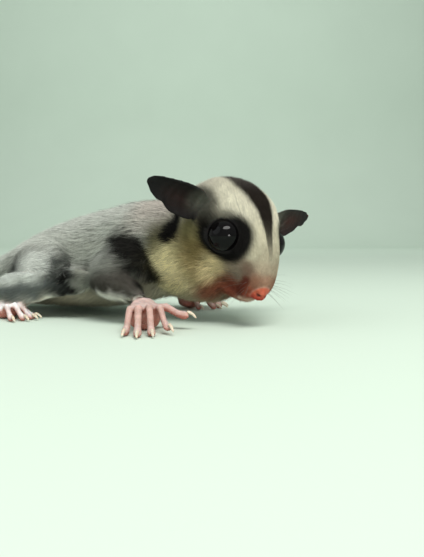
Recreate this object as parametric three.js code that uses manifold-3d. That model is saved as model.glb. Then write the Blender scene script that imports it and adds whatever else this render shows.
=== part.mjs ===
// A young sugar glider, life size, crouched on the floor with its head turned to its right.
// Millimetres, +Z up. +X runs forward along the trunk, +Y is the animal's left, and the soles stand on z = 0.
// Every solid reaches out to the tips of the coat, and neighbours stand GAP apart along their seams.
import * as THREE from 'three';
import { mergeVertices } from 'three/addons/utils/BufferGeometryUtils.js';
import Module from 'manifold-3d';

const wasm = await Module();
wasm.setup();

// Driving dimensions
const GAP = 0.3;
const CENTRE = { x: -60.36, y: 7.22 }; // middle of the animal seen from above, which becomes the origin
const RIGHT = -1;
const LEFT = 1;

const NOSE_TIP = [17.7, -13.3, 8.4];
const HEAD_TURN = { yaw: -36, pitch: 31, roll: -9 }; // degrees: to the right, nose down, left side down
const EYE = { x: -12.0, y: 6.8, z: 6.1, radius: 3.8 };
const EAR = {
  x: -18.2,
  y: 10.0,
  z: 9.0,
  out: [-0.17, 0.975, 0.14],
  length: { [RIGHT]: 15.6, [LEFT]: 15.1 },
  width: 3.7,
  thickness: 0.6,
  cup: 1.5,
  swing: 0.5,
  lobe: { [RIGHT]: 1.0, [LEFT]: -0.6 }, // how far the lower edge hangs down near the tip
  lobeAt: 0.7,
  lobeReach: 0.3,
};
const CLAW = { length: 2.3, radius: 0.42, tip: 0.2 };
const BELOW_FLOOR = 400; // side of the block that planes pads and tail flat at z = 0
const SAW = 60; // height and width of the thin cuts
const CRUMB = 50; // pieces of a cut under this volume are dropped, in cubic millimetres

// Turns a closed three.js geometry into a solid that can be joined and cut.
function solidOf(geometry) {
  const bare = geometry.index ? geometry.toNonIndexed() : geometry.clone();
  bare.deleteAttribute('normal');
  bare.deleteAttribute('uv');
  const merged = mergeVertices(bare, 1e-4);
  return new wasm.Manifold(new wasm.Mesh({
    numProp: 3,
    vertProperties: Float32Array.from(merged.attributes.position.array),
    triVerts: Uint32Array.from(merged.index.array),
  }));
}

function geometryOf(solid) {
  const mesh = solid.getMesh();
  const geometry = new THREE.BufferGeometry();
  geometry.setAttribute('position', new THREE.BufferAttribute(Float32Array.from(mesh.vertProperties), 3));
  geometry.setIndex(new THREE.BufferAttribute(Uint32Array.from(mesh.triVerts), 1));
  geometry.computeVertexNormals();
  return geometry;
}

// Sweeps a section along a smooth line through stations.
// A station is [x, y, z, half width, height above, depth below].
// The rings of a sphere are carried along the line, so both ends close in a round cap.
// grow widens the whole body, which leaves a seam of that width when it is cut away from a neighbour.
function sweep(stations, options) {
  const { around, along, caps, square = 2, up = [0, 0, 1], grow = 0, mould } = options;
  const line = new THREE.CatmullRomCurve3(stations.map(([x, y, z]) => new THREE.Vector3(x, y, z)));
  const sizes = new THREE.CatmullRomCurve3(stations.map(([, , , w, t, b]) => new THREE.Vector3(w, t, b)));
  const upward = new THREE.Vector3(...up);
  const ball = new THREE.SphereGeometry(1, around, along);
  const place = ball.attributes.position;
  const point = new THREE.Vector3();
  for (let i = 0; i < place.count; i += 1) {
    point.fromBufferAttribute(place, i);
    const u = THREE.MathUtils.clamp(0.5 + 0.5 * point.y, 0, 1);
    const turn = Math.atan2(point.z, point.x);
    const centre = line.getPoint(u);
    const forward = line.getTangent(u);
    const side = new THREE.Vector3().crossVectors(forward, upward).normalize();
    const rise = new THREE.Vector3().crossVectors(side, forward);
    const size = sizes.getPoint(u);
    const near = Math.min(u / caps[0], (1 - u) / caps[1], 1);
    const round = Math.sqrt(Math.max(0, 1 - (1 - near) ** 2));
    const c = Math.cos(turn);
    const s = Math.sin(turn);
    const edge = (Math.abs(c) ** square + Math.abs(s) ** square) ** (-1 / square);
    const across = (size.x + grow) * round * edge * c;
    const height = ((s > 0 ? size.y : size.z) + grow) * round * edge * s;
    const stretch = grow * (1 - near) * (u < 0.5 ? -1 : 1);
    centre.addScaledVector(side, across).addScaledVector(rise, height).addScaledVector(forward, stretch);
    if (mould) mould(centre, { u, across, height, side, rise, forward, round });
    place.setXYZ(i, centre.x, centre.y, centre.z);
  }
  return solidOf(ball);
}

// An egg-shaped lump with its own centre and radii.
function lump([x, y, z], [a, b, c], [around, along], grow = 0) {
  const ball = new THREE.SphereGeometry(1, around, along);
  ball.scale(a + grow, b + grow, c + grow);
  ball.translate(x, y, z);
  return solidOf(ball);
}

function box([x, y, z], [a, b, c], turns = [0, 0, 0]) {
  const block = new THREE.BoxGeometry(a, b, c);
  block.applyMatrix4(new THREE.Matrix4().makeRotationFromEuler(new THREE.Euler(...turns)));
  block.translate(x, y, z);
  return solidOf(block);
}

const join = (...solids) => solids.reduce((whole, next) => whole.add(next));
const cut = (solid, ...tools) => tools.reduce((rest, tool) => rest.subtract(tool), solid);
const belowFloor = box([CENTRE.x, CENTRE.y, -BELOW_FLOOR / 2], [BELOW_FLOOR, BELOW_FLOOR, BELOW_FLOOR]);
const onFloor = (solid) => solid.subtract(belowFloor);

// Keeps the largest piece where a cut leaves crumbs.
function whole(solid) {
  return solid.decompose().reduce((best, next) => (next.volume() > best.volume() ? next : best));
}

// The head's own frame: origin at the nose tip, +x forward along the jaw, +y left, +z up.
const headMatrix = new THREE.Matrix4().compose(
  new THREE.Vector3(...NOSE_TIP),
  new THREE.Quaternion().setFromEuler(new THREE.Euler(
    THREE.MathUtils.degToRad(HEAD_TURN.roll),
    THREE.MathUtils.degToRad(HEAD_TURN.pitch),
    THREE.MathUtils.degToRad(HEAD_TURN.yaw),
    'ZYX',
  )),
  new THREE.Vector3(1, 1, 1),
);

function placeHead(solid) {
  return solidOf(geometryOf(solid).applyMatrix4(headMatrix));
}

// Head

const HEAD_STATIONS = [
  [-31.0, 0, 3.5, 8.6, 8.0, 7.4],
  [-27.0, 0, 3.4, 11.6, 11.9, 10.4],
  [-22.0, 0, 3.2, 12.9, 13.6, 12.2],
  [-17.0, 0, 3.0, 12.7, 13.4, 11.8],
  [-12.2, 0, 2.7, 10.0, 12.0, 9.6],
  [-8.2, 0, 2.2, 6.6, 9.2, 7.1],
  [-5.0, 0, 1.0, 4.75, 6.7, 5.6],
  [-2.3, 0, -0.5, 3.85, 4.2, 4.3],
  [-0.5, 0, -1.3, 3.15, 2.7, 3.1],
];

function headShape(grow = 0) {
  return sweep(HEAD_STATIONS, { around: 18, along: 14, caps: [0.13, 0.08], square: 2.15, grow });
}

function eyeShape(side, grow = 0) {
  return lump([EYE.x, side * EYE.y, EYE.z], [EYE.radius, EYE.radius, EYE.radius], [10, 8], grow);
}

// The orbit is a shallow dish round the eye, so that the lids' rim stands clear of the ball.
const ORBIT = { forward: 1.1, outward: 1.0, radius: 3.9 };

function orbitShape(side) {
  const { forward, outward, radius } = ORBIT;
  return lump([EYE.x + forward, side * (EYE.y + outward), EYE.z], [radius, radius, radius], [8, 6]);
}

// Each ear is a thin leaf, cupped forward, that stands out sideways from its root.
function earShape(side) {
  const { x, y, z, out, length, width, thickness, cup, swing, lobe, lobeAt, lobeReach } = EAR;
  const at = (far) => {
    const away = length[side] * far;
    return [x + out[0] * away, side * (y + out[1] * away), z + out[2] * away];
  };
  return sweep([
    [...at(0), width * 0.9, thickness, thickness],
    [...at(0.25), width, thickness, thickness],
    [...at(0.5), width * 0.9, thickness, thickness],
    [...at(0.75), width * 0.64, thickness, thickness],
    [...at(1), width * 0.26, thickness, thickness],
  ], {
    around: 10,
    along: 8,
    caps: [0.1, 0.16],
    square: 2.6,
    up: [1, 0, 0.15],
    mould: (p, { across, rise, side: wide, u }) => {
      p.addScaledVector(rise, cup * (across / width) ** 2 * (1 - 0.5 * u));
      const hang = lobe[side] * Math.exp(-(((u - lobeAt) / lobeReach) ** 2));
      p.addScaledVector(wide, side * hang * Math.max(0, (across * side) / width));
      p.addScaledVector(wide, -side * swing * u * u);
    },
  });
}

const NOSE_PAD = { centre: [-0.6, 0, -1.0], radii: [1.5, 2.0, 1.9] };
const JAW_STATIONS = [
  [-15.5, 0, -5.9, 5.8, 1.2, 2.8],
  [-11.0, 0, -5.2, 5.2, 1.5, 2.5],
  [-7.0, 0, -4.6, 4.2, 1.3, 2.1],
  [-3.9, 0, -4.1, 3.1, 1.0, 1.6],
  [-2.0, 0, -3.8, 2.3, 0.9, 1.2],
];

function jawShape(grow = 0) {
  return sweep(JAW_STATIONS, { around: 10, along: 7, caps: [0.2, 0.2], square: 2.2, grow });
}

const nosePad = lump(NOSE_PAD.centre, NOSE_PAD.radii, [10, 7]);
const nosePadSeat = lump(NOSE_PAD.centre, NOSE_PAD.radii, [10, 7], GAP);
const eyes = { [RIGHT]: eyeShape(RIGHT), [LEFT]: eyeShape(LEFT) };
const jaw = jawShape();
const ears = { [RIGHT]: earShape(RIGHT), [LEFT]: earShape(LEFT) };
const head = whole(cut(
  headShape(),
  nosePadSeat,
  jawShape(GAP),
  eyeShape(RIGHT, GAP),
  eyeShape(LEFT, GAP),
  orbitShape(RIGHT),
  orbitShape(LEFT),
));
const headSeat = placeHead(join(headShape(GAP), jawShape(GAP)));

// Trunk and neck

// One line runs from the rump to the throat under the jaw.
// A thin saw cut at the neck's root parts trunk from neck.
const TORSO_STATIONS = [
  [-70.5, 0.5, 7.8, 5.8, 4.9, 5.2],
  [-64.0, 0.3, 8.4, 9.6, 6.4, 6.8],
  [-55.5, 0.2, 9.7, 12.7, 8.4, 8.4],
  [-46.0, 0.1, 11.6, 14.0, 11.2, 10.4],
  [-36.0, 0, 13.6, 14.2, 12.6, 12.4],
  [-26.0, 0, 15.2, 13.2, 13.3, 13.3],
  [-16.5, -0.2, 16.9, 12.4, 13.5, 13.0],
  [-8.0, -1.0, 17.3, 11.8, 13.0, 12.2],
  [-1.0, -3.2, 16.2, 11.6, 12.6, 12.3],
  [5.5, -6.2, 13.2, 9.8, 9.4, 9.8],
  [11.0, -9.2, 10.2, 6.4, 5.0, 5.9],
];
const NECK_ROOT = { at: [-9.5, -0.8, 17], turn: -8, lean: -10 }; // degrees

function torsoShape(grow = 0) {
  return sweep(TORSO_STATIONS, { around: 18, along: 20, caps: [0.09, 0.07], square: 2.15, grow });
}

const neckSaw = box(NECK_ROOT.at, [GAP, SAW, SAW], [
  0,
  THREE.MathUtils.degToRad(NECK_ROOT.lean),
  THREE.MathUtils.degToRad(NECK_ROOT.turn),
]);
const torsoSeat = torsoShape(GAP);
const [neck, trunk] = cut(torsoShape(), neckSaw, headSeat).decompose()
  .sort((one, other) => one.volume() - other.volume())
  .slice(-2);

// Forelimbs: shoulder, elbow and wrist, then a palm with five spread digits that end in claws.

const ARM = {
  [RIGHT]: {
    shoulder: [-13.5, -8.6, 16.0],
    elbow: [-25.6, -14.2, 10.0],
    wrist: [-9.6, -17.8, 6.8],
    palm: [-7.0, -21.6],
  },
  [LEFT]: {
    shoulder: [-15.0, 8.6, 15.6],
    elbow: [-28.6, 13.6, 9.4],
    wrist: [-16.4, 16.6, 5.8],
    palm: [-12.6, 18.2],
  },
};

function upperArmShape(side, grow = 0) {
  const { shoulder: s, elbow: e } = ARM[side];
  const mid = s.map((v, i) => (v + e[i]) / 2);
  return sweep([
    [...s, 6.2, 6.2, 6.2],
    [mid[0], mid[1] + side * 0.6, mid[2], 5.4, 5.8, 5.8],
    [...e, 4.3, 4.6, 4.6],
  ], { around: 12, along: 7, caps: [0.28, 0.26], grow });
}

function forearmShape(side, grow = 0) {
  const { elbow: e, wrist: w } = ARM[side];
  const mid = e.map((v, i) => (v + w[i]) / 2);
  return sweep([
    [...e, 4.2, 4.6, 4.2],
    [mid[0], mid[1], mid[2] + 0.5, 3.8, 4.2, 4.0],
    [...w, 3.0, 2.7, 2.7],
  ], { around: 11, along: 6, caps: [0.24, 0.12], grow });
}

// A digit leaves the palm, arches over its knuckle and comes down on its pad.
// reach is the place of the pad on the floor.
function digitShape(from, reach, { radius, arch, pad, sides }) {
  const [x0, y0, z0] = from;
  const [x1, y1, z1] = reach;
  const at = (k) => [x0 + (x1 - x0) * k, y0 + (y1 - y0) * k];
  return sweep([
    [x0, y0, z0, radius * 1.15, radius * 1.1, radius * 1.1],
    [...at(0.38), Math.max(z0, z1) + arch, radius, radius, radius],
    [...at(0.7), z1 + arch * 0.8, radius * 0.9, radius * 0.9, radius * 0.9],
    [...at(0.9), z1, pad, pad, pad],
    [...at(1.08), z1, pad * 0.9, pad * 0.9, pad * 0.9],
  ], { around: sides, along: 6, caps: [0.12, 0.16] });
}

const DIGITS = {
  [RIGHT]: [
    { name: '1', from: [-5.6, -19.8, 4.6], pad: [2.0, -18.8, 3.3], radius: 1.05, arch: 0.4 },
    { name: '2', from: [-4.4, -21.8, 4.4], pad: [1.0, -26.0, 1.5], radius: 0.95, arch: 1.0 },
    { name: '3', from: [-5.4, -23.0, 4.4], pad: [-1.2, -29.4, 0.8], radius: 1.0, arch: 1.3 },
    { name: '4', from: [-7.2, -23.6, 4.2], pad: [-3.4, -31.6, 0.8], radius: 1.0, arch: 1.3 },
    { name: '5', from: [-8.9, -23.4, 4.0], pad: [-6.7, -30.9, 0.8], radius: 0.95, arch: 1.2 },
  ],
  [LEFT]: [
    { name: '1', from: [-12.4, 16.3, 3.4], pad: [-8.2, 13.4, 0.8], radius: 0.95, arch: 0.7 },
    { name: '2', from: [-11.0, 17.2, 3.8], pad: [-4.6, 16.2, 0.8], radius: 0.95, arch: 1.2 },
    { name: '3', from: [-10.6, 18.4, 3.8], pad: [-4.0, 19.2, 0.8], radius: 1.0, arch: 1.3 },
    { name: '4', from: [-11.0, 19.6, 3.8], pad: [-5.0, 22.4, 0.8], radius: 1.0, arch: 1.3 },
    { name: '5', from: [-12.0, 20.4, 3.5], pad: [-7.6, 24.6, 0.8], radius: 0.95, arch: 1.2 },
  ],
};

function fingerShape(digit) {
  return digitShape(digit.from, digit.pad, { ...digit, pad: digit.radius * 1.12, sides: 6 });
}

function toeShape(toe) {
  return digitShape(toe.from, toe.pad, { ...toe, pad: toe.radius * 1.15, sides: 5 });
}

function palmShape(side) {
  const [x, y] = ARM[side].palm;
  const [wx, wy, wz] = ARM[side].wrist;
  const at = (k) => [wx + (x - wx) * k, wy + (y - wy) * k];
  return sweep([
    [wx, wy, wz - 0.6, 2.8, 2.2, 2.4],
    [...at(0.5), 4.4, 3.5, 2.3, 4.2],
    [...at(1), 3.8, 4.0, 2.3, 4.0],
    [...at(1.75), 3.5, 3.8, 2.0, 3.7],
  ], { around: 8, along: 6, caps: [0.2, 0.26], square: 2.4 });
}

// Each claw springs from the end of its digit, runs outward and hooks down to the floor.
function clawPath({ from, pad, lift = 0.28 }) {
  const dx = pad[0] - from[0];
  const dy = pad[1] - from[1];
  const length = Math.hypot(dx, dy);
  const step = [dx / length, dy / length];
  const root = [pad[0] + step[0] * 0.25, pad[1] + step[1] * 0.25, pad[2] + 0.45];
  const drop = Math.min(root[2] - lift, 1.2) + 0.25;
  return [0, 0.4, 0.75, 1].map((k) => {
    const z = root[2] + (0.25 * k) - drop * k * k;
    const reach = CLAW.length * (k - 0.18 * k * k);
    const radius = THREE.MathUtils.lerp(CLAW.radius, CLAW.tip, k * k * 0.5 + k * 0.5);
    const [x, y] = [root[0] + step[0] * reach, root[1] + step[1] * reach];
    return [x, y, Math.max(z, radius + 0.02), radius, radius, radius];
  });
}

function clawShape(digit, grow = 0) {
  return sweep(clawPath(digit), { around: 5, along: 4, caps: [0.14, 0.1], grow });
}

// Hind limbs: hip, knee and ankle, then a long sole with four clawed toes and a clawless big toe.

const LEG = {
  [RIGHT]: {
    hip: [-52.0, -7.5, 12.4],
    knee: [-32.6, -14.0, 12.2],
    ankle: [-56.0, -15.8, 4.8],
    ball: [-48.0, -18.8],
  },
  [LEFT]: {
    hip: [-53.0, 7.5, 12.4],
    knee: [-34.8, 14.0, 12.0],
    ankle: [-57.0, 16.0, 4.8],
    ball: [-49.0, 19.4],
  },
};

function thighShape(side, grow = 0) {
  const { hip: h, knee: k } = LEG[side];
  const mid = h.map((v, i) => (v + k[i]) / 2);
  return sweep([
    [...h, 6.8, 6.2, 6.6],
    [mid[0], mid[1] + side * 1.0, mid[2] + 0.4, 6.2, 7.4, 6.6],
    [...k, 4.8, 6.0, 5.6],
  ], { around: 12, along: 8, caps: [0.26, 0.24], grow });
}

function shankShape(side, grow = 0) {
  const { knee: k, ankle: a } = LEG[side];
  const mid = k.map((v, i) => (v + a[i]) / 2);
  return sweep([
    [k[0] + 0.3, k[1], k[2] - 1.6, 4.8, 5.2, 4.8],
    [mid[0], mid[1] + side * 0.3, mid[2] + 0.2, 4.5, 5.0, 4.4],
    [...a, 3.0, 3.2, 2.8],
  ], { around: 11, along: 7, caps: [0.2, 0.12], grow });
}

const BIG_TOE = 'big';
const TOES = {
  [RIGHT]: [
    { name: BIG_TOE, from: [-50.4, -16.2, 2.4], pad: [-47.2, -12.9, 0.85], radius: 1.05, arch: 0.5 },
    { name: '2', from: [-46.4, -17.0, 2.6], pad: [-40.6, -16.8, 0.7], radius: 0.85, arch: 0.9 },
    { name: '3', from: [-46.2, -18.0, 2.6], pad: [-39.8, -18.8, 0.7], radius: 0.85, arch: 1.0 },
    { name: '4', from: [-46.4, -19.2, 2.6], pad: [-40.2, -21.2, 0.8], radius: 0.95, arch: 1.2 },
    { name: '5', from: [-47.2, -20.2, 2.5], pad: [-42.0, -23.4, 0.75], radius: 0.9, arch: 1.1 },
  ],
  [LEFT]: [
    { name: BIG_TOE, from: [-51.4, 17.0, 2.4], pad: [-48.2, 13.6, 0.85], radius: 1.05, arch: 0.5 },
    { name: '2', from: [-47.4, 17.8, 2.6], pad: [-41.6, 17.8, 0.7], radius: 0.85, arch: 0.9 },
    { name: '3', from: [-47.2, 18.8, 2.6], pad: [-41.0, 19.9, 0.7], radius: 0.85, arch: 1.0 },
    { name: '4', from: [-47.4, 20.0, 2.6], pad: [-41.5, 22.3, 0.8], radius: 0.95, arch: 1.2 },
    { name: '5', from: [-48.2, 21.0, 2.5], pad: [-43.4, 24.5, 0.75], radius: 0.9, arch: 1.1 },
  ],
};

function soleShape(side, grow = 0) {
  const { ankle: a, ball } = LEG[side];
  return sweep([
    [a[0] - 1.6, a[1], a[2] - 1.6, 2.4, 2.2, 3.0],
    [(a[0] * 2 + ball[0]) / 3, (a[1] * 2 + ball[1]) / 3, 2.9, 2.6, 2.2, 2.9],
    [(a[0] + ball[0] * 2) / 3, (a[1] + ball[1] * 2) / 3, 2.3, 3.0, 1.8, 2.5],
    [ball[0] + 3.6, ball[1] + (ball[1] > 0 ? 0.4 : -0.4), 1.9, 3.1, 1.4, 2.2],
  ], { around: 8, along: 6, caps: [0.18, 0.24], square: 2.3, grow });
}

// Gliding membranes: a loose fold along each flank, from behind the elbow to the shank,
// with a scalloped lower edge.

const MEMBRANE = {
  [RIGHT]: [
    [-25.0, -14.6, 9.6],
    [-30.0, -15.0, 9.4],
    [-36.0, -16.4, 8.4],
    [-43.5, -17.4, 6.8],
    [-51.0, -17.6, 5.2],
  ],
  [LEFT]: [
    [-28.0, 14.6, 9.4],
    [-32.4, 15.0, 9.2],
    [-38.0, 16.4, 8.2],
    [-44.5, 17.6, 6.6],
    [-52.0, 17.8, 5.2],
  ],
};
const MEMBRANE_FOLD = { thickness: 1.3, above: 4.6, below: 3.8, waves: 2.4, depth: 0.7 };

function membraneShape(side, grow = 0) {
  const { thickness, above, below, waves, depth } = MEMBRANE_FOLD;
  return sweep(MEMBRANE[side].map(([x, y, z], i, all) => {
    const swell = Math.sin((Math.PI * (i + 0.6)) / (all.length + 0.2));
    return [x, y, z, thickness, above * (0.55 + 0.45 * swell), below * (0.5 + 0.5 * swell)];
  }), {
    around: 8,
    along: 8,
    caps: [0.1, 0.1],
    square: 2.2,
    grow,
    mould: (p, { u, height, side: wide }) => {
      const low = THREE.MathUtils.smoothstep(-height, -1.5, 3);
      p.addScaledVector(wide, Math.sin(u * waves * 2 * Math.PI) * depth * (0.25 + 0.75 * low));
      p.z += Math.cos(u * waves * 2 * Math.PI) * 0.7 * low;
    },
  });
}

// Tail: full and soft, laid along the floor behind the animal in a slow curve to its left, in three lengths.

const TAIL_LINE = [
  [-61.0, 0.5, 9.0, 5.4],
  [-72.0, 1.3, 7.6, 6.0],
  [-84.0, 3.6, 6.7, 6.7],
  [-96.0, 7.4, 6.5, 7.0],
  [-108.0, 12.8, 6.4, 6.9],
  [-119.0, 19.8, 6.2, 6.7],
  [-129.0, 28.4, 5.7, 6.1],
  [-137.0, 38.0, 4.7, 5.0],
  [-142.5, 48.0, 3.0, 3.1],
];
const TAIL_CUTS = [
  { at: [-91.0, 5.6, 6.6], turn: -17 },
  { at: [-116.0, 17.4, 6.4], turn: -32 },
];

const tailWhole = onFloor(sweep(
  TAIL_LINE.map(([x, y, z, r]) => [x, y, z, r, r, r]),
  { around: 12, along: 16, caps: [0.08, 0.16] },
));

const tailSaws = TAIL_CUTS.map(({ at, turn }) => (
  box(at, [GAP, SAW, SAW], [0, 0, THREE.MathUtils.degToRad(turn)])
));
const tailLengths = cut(tailWhole, torsoSeat, ...tailSaws).decompose()
  .filter((piece) => piece.volume() > CRUMB)
  .map((piece) => ({ piece, x: (piece.boundingBox().min[0] + piece.boundingBox().max[0]) / 2 }))
  .sort((a, b) => b.x - a.x)
  .map(({ piece }) => piece);

// Materials

function paint(color, roughness) {
  return new THREE.MeshStandardMaterial({ color, roughness, metalness: 0 });
}

const FINISH = {
  greyCoat: [0x8d8a83, 0.9],
  creamCoat: [0xcfc9ac, 0.9],
  darkCoat: [0x2c2826, 0.9],
  pinkSkin: [0xd9a39a, 0.6],
  noseSkin: [0xc2625a, 0.4],
  earSkin: [0x35231f, 0.6],
  eye: [0x0b0a0c, 0.05],
  claw: [0xe0d2bb, 0.35],
};

const animal = new THREE.Group();
animal.position.set(-CENTRE.x, -CENTRE.y, 0);
const headGroup = new THREE.Group();
headGroup.applyMatrix4(headMatrix);
animal.add(headGroup);

function node(name, solid, [colour, roughness], parent = animal) {
  const mesh = new THREE.Mesh(geometryOf(solid), paint(colour, roughness));
  mesh.name = name;
  parent.add(mesh);
}

node('head', head, FINISH.creamCoat, headGroup);
node('lower_jaw', jaw, FINISH.creamCoat, headGroup);
node('nose_pad', nosePad, FINISH.noseSkin, headGroup);
const headWithGap = headShape(GAP);
for (const [side, word] of [[RIGHT, 'right'], [LEFT, 'left']]) {
  node(`eye_${word}`, eyes[side], FINISH.eye, headGroup);
  node(`ear_${word}`, whole(cut(ears[side], headWithGap)), FINISH.earSkin, headGroup);
}
node('neck', neck, FINISH.creamCoat);
node('trunk', trunk, FINISH.greyCoat);
tailLengths.forEach((piece, i) => node(`tail_${i + 1}`, piece, i < 2 ? FINISH.greyCoat : FINISH.darkCoat));

for (const [side, word] of [[RIGHT, 'right'], [LEFT, 'left']]) {
  const upperArm = whole(cut(upperArmShape(side), torsoSeat, headSeat));
  const forearm = whole(cut(forearmShape(side), torsoSeat, headSeat, upperArmShape(side, GAP)));
  const clawSeats = DIGITS[side].map((digit) => clawShape(digit, GAP));
  const hand = whole(onFloor(cut(
    join(palmShape(side), ...DIGITS[side].map(fingerShape)),
    torsoSeat,
    headSeat,
    forearmShape(side, GAP),
    ...clawSeats,
  )));
  node(`upper_arm_${word}`, upperArm, FINISH.greyCoat);
  node(`forearm_${word}`, forearm, FINISH.darkCoat);
  node(`hand_${word}`, hand, FINISH.pinkSkin);
  for (const digit of DIGITS[side]) node(`claw_hand_${word}_${digit.name}`, clawShape(digit), FINISH.claw);

  const thigh = whole(cut(thighShape(side), torsoSeat));
  const shank = whole(cut(shankShape(side), torsoSeat, thighShape(side, GAP)));
  const clawed = TOES[side].filter((toe) => toe.name !== BIG_TOE);
  const foot = whole(onFloor(cut(
    join(soleShape(side), ...TOES[side].map(toeShape)),
    torsoSeat,
    shankShape(side, GAP),
    thighShape(side, GAP),
    ...clawed.map((toe) => clawShape(toe, GAP)),
  )));
  node(`thigh_${word}`, thigh, FINISH.greyCoat);
  node(`shank_${word}`, shank, FINISH.greyCoat);
  node(`foot_${word}`, foot, FINISH.pinkSkin);
  for (const toe of clawed) node(`claw_foot_${word}_${toe.name}`, clawShape(toe), FINISH.claw);

  const membrane = whole(cut(
    membraneShape(side),
    torsoSeat,
    upperArmShape(side, GAP),
    forearmShape(side, GAP),
    thighShape(side, GAP),
    shankShape(side, GAP),
    soleShape(side, GAP),
    ...TOES[side].map((toe) => toeShape({ ...toe, radius: toe.radius + GAP })),
  ));
  node(`gliding_membrane_${word}`, membrane, FINISH.darkCoat);
}

export default animal;
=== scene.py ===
# %% [markdown]
# # A young sugar glider
# The real animal is a marsupial some ten centimetres long without its tail: short dense fur on the head, longer
# silver fur on the body, a bare nose, bare ears and bare pink hands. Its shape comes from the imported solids, which
# reach out to the tips of the coat, so this lesson adds one skin inside them, wet eyes, claws, whiskers and the coat.

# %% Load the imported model
import math

import bmesh
import bpy
import numpy as np
from mathutils import Euler, Matrix, Vector
from mathutils.bvhtree import BVHTree


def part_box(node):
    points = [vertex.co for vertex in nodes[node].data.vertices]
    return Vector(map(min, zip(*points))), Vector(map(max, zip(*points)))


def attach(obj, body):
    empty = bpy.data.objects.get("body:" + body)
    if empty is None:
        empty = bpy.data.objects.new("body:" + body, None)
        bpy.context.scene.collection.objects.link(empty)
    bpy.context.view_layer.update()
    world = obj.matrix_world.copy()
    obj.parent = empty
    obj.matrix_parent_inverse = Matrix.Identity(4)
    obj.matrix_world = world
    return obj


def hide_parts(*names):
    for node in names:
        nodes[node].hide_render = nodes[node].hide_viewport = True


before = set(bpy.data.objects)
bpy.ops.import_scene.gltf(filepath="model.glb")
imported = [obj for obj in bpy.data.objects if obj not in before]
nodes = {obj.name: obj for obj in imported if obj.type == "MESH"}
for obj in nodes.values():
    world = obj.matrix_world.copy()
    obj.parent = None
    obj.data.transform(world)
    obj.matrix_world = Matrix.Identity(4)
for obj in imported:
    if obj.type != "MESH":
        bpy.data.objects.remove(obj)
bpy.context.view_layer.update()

scene = bpy.context.scene
MM = 0.001  # the arrays of points below hold millimetres, and objects hold metres
SIDES = {"right": -1, "left": 1}


def placed(name, content):
    """A new object in the scene."""
    made = bpy.data.objects.new(name, content)
    scene.collection.objects.link(made)
    return made


# %% [markdown]
# ## Camera
# The picture was taken from a little above the floor, in front of the animal's right side. The camera is placed from
# the nose tip: so far back, so far sideways, so far up. Its focal length is measured in pixels of the 424 x 557
# picture, and becomes a lens for Blender's 36 mm sensor, which fits the longer side.

# %% Camera
PICTURE_HEIGHT = 557
FOCAL = 538  # pixels
AZIMUTH = math.radians(21)
ELEVATION = math.radians(4)
NOSE_TIP = Vector((78.06, -20.52, 8.4))
FROM_NOSE = {"right": -11.2, "up": 3.0, "back": 117.0}

view_right = Vector((math.cos(AZIMUTH), math.sin(AZIMUTH), 0))
view_back = Vector((
    math.sin(AZIMUTH) * math.cos(ELEVATION),
    -math.cos(AZIMUTH) * math.cos(ELEVATION),
    math.sin(ELEVATION),
))
view_up = view_back.cross(view_right)
view_from = NOSE_TIP + view_right * FROM_NOSE["right"] + view_up * FROM_NOSE["up"]
view_from += view_back * FROM_NOSE["back"]

camera = placed("camera", bpy.data.cameras.new("camera"))
camera.data.sensor_width = 36
camera.data.lens = FOCAL / PICTURE_HEIGHT * camera.data.sensor_width
camera.data.clip_start = 0.002
turn = Matrix((view_right, view_up, view_back)).transposed().to_4x4()
camera.matrix_world = Matrix.Translation(view_from * MM) @ turn
scene.camera = camera
print("camera at", [round(c, 1) for c in view_from], "mm, lens", round(camera.data.lens, 2))

# %% [markdown]
# ## Helpers for points
# The skin has about a hundred and fifty thousand points, too many for a Python loop at each step. Blender hands
# all of them over at once with foreach_get, and numpy works on the whole list.


# %% Helpers for points
def read(items, key, width, kind=float):
    """One row of numbers for each item."""
    flat = np.empty(width * len(items), kind)
    items.foreach_get(key, flat)
    return flat.reshape(-1, width)


def points_of(mesh):
    return read(mesh.vertices, "co", 3) / MM


def put_points(mesh, points):
    mesh.vertices.foreach_set("co", (points * MM).ravel())
    mesh.update()


def normals_of(mesh):
    return read(mesh.vertices, "normal", 3)


def edges_of(mesh):
    return read(mesh.edges, "vertices", 2, np.int32)


def unit(vectors):
    return vectors / np.maximum(np.linalg.norm(vectors, axis=-1, keepdims=True), 1e-9)


def ease(low, high, value):
    """0 below low, 1 above high, and a smooth rise between them. low may be above high."""
    t = np.clip((value - low) / (high - low), 0, 1)
    return t * t * (3 - 2 * t)


def spread(values, edges, times, amount=0.5):
    """Each vertex takes on a share of its neighbours' mean, several times."""
    count = np.bincount(edges.ravel(), minlength=len(values)).astype(float)
    columns = values.reshape(len(values), -1).copy()
    share = np.broadcast_to(np.asarray(amount, float), (len(values),))
    for _ in range(times):
        for k in range(columns.shape[1]):
            column = columns[:, k]
            total = np.bincount(edges[:, 0], column[edges[:, 1]], len(values))
            total += np.bincount(edges[:, 1], column[edges[:, 0]], len(values))
            columns[:, k] = column + share * (total / np.maximum(count, 1) - column)
    return columns.reshape(values.shape)


def rounded(name, bm):
    """The faces of bm as a smoothly shaded object. bm is used up."""
    for face in bm.faces:
        face.smooth = True
    mesh = bpy.data.meshes.new(name)
    bm.to_mesh(mesh)
    bm.free()
    return placed(name, mesh)


# %% [markdown]
# ## The head's own axes
# Everything on the face is easier to place along the head than along the room: x forward to the nose, y to the
# left, z up. The origin is the nose tip.

# %% The head's own axes
HEAD_TURN = Euler((math.radians(-9), math.radians(31), math.radians(-36)))
head_axes = np.array(HEAD_TURN.to_matrix())
nose_tip = np.array(NOSE_TIP)


def in_head(points):
    return (points - nose_tip) @ head_axes


def from_head(points):
    return np.asarray(points) @ head_axes.T + nose_tip


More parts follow.
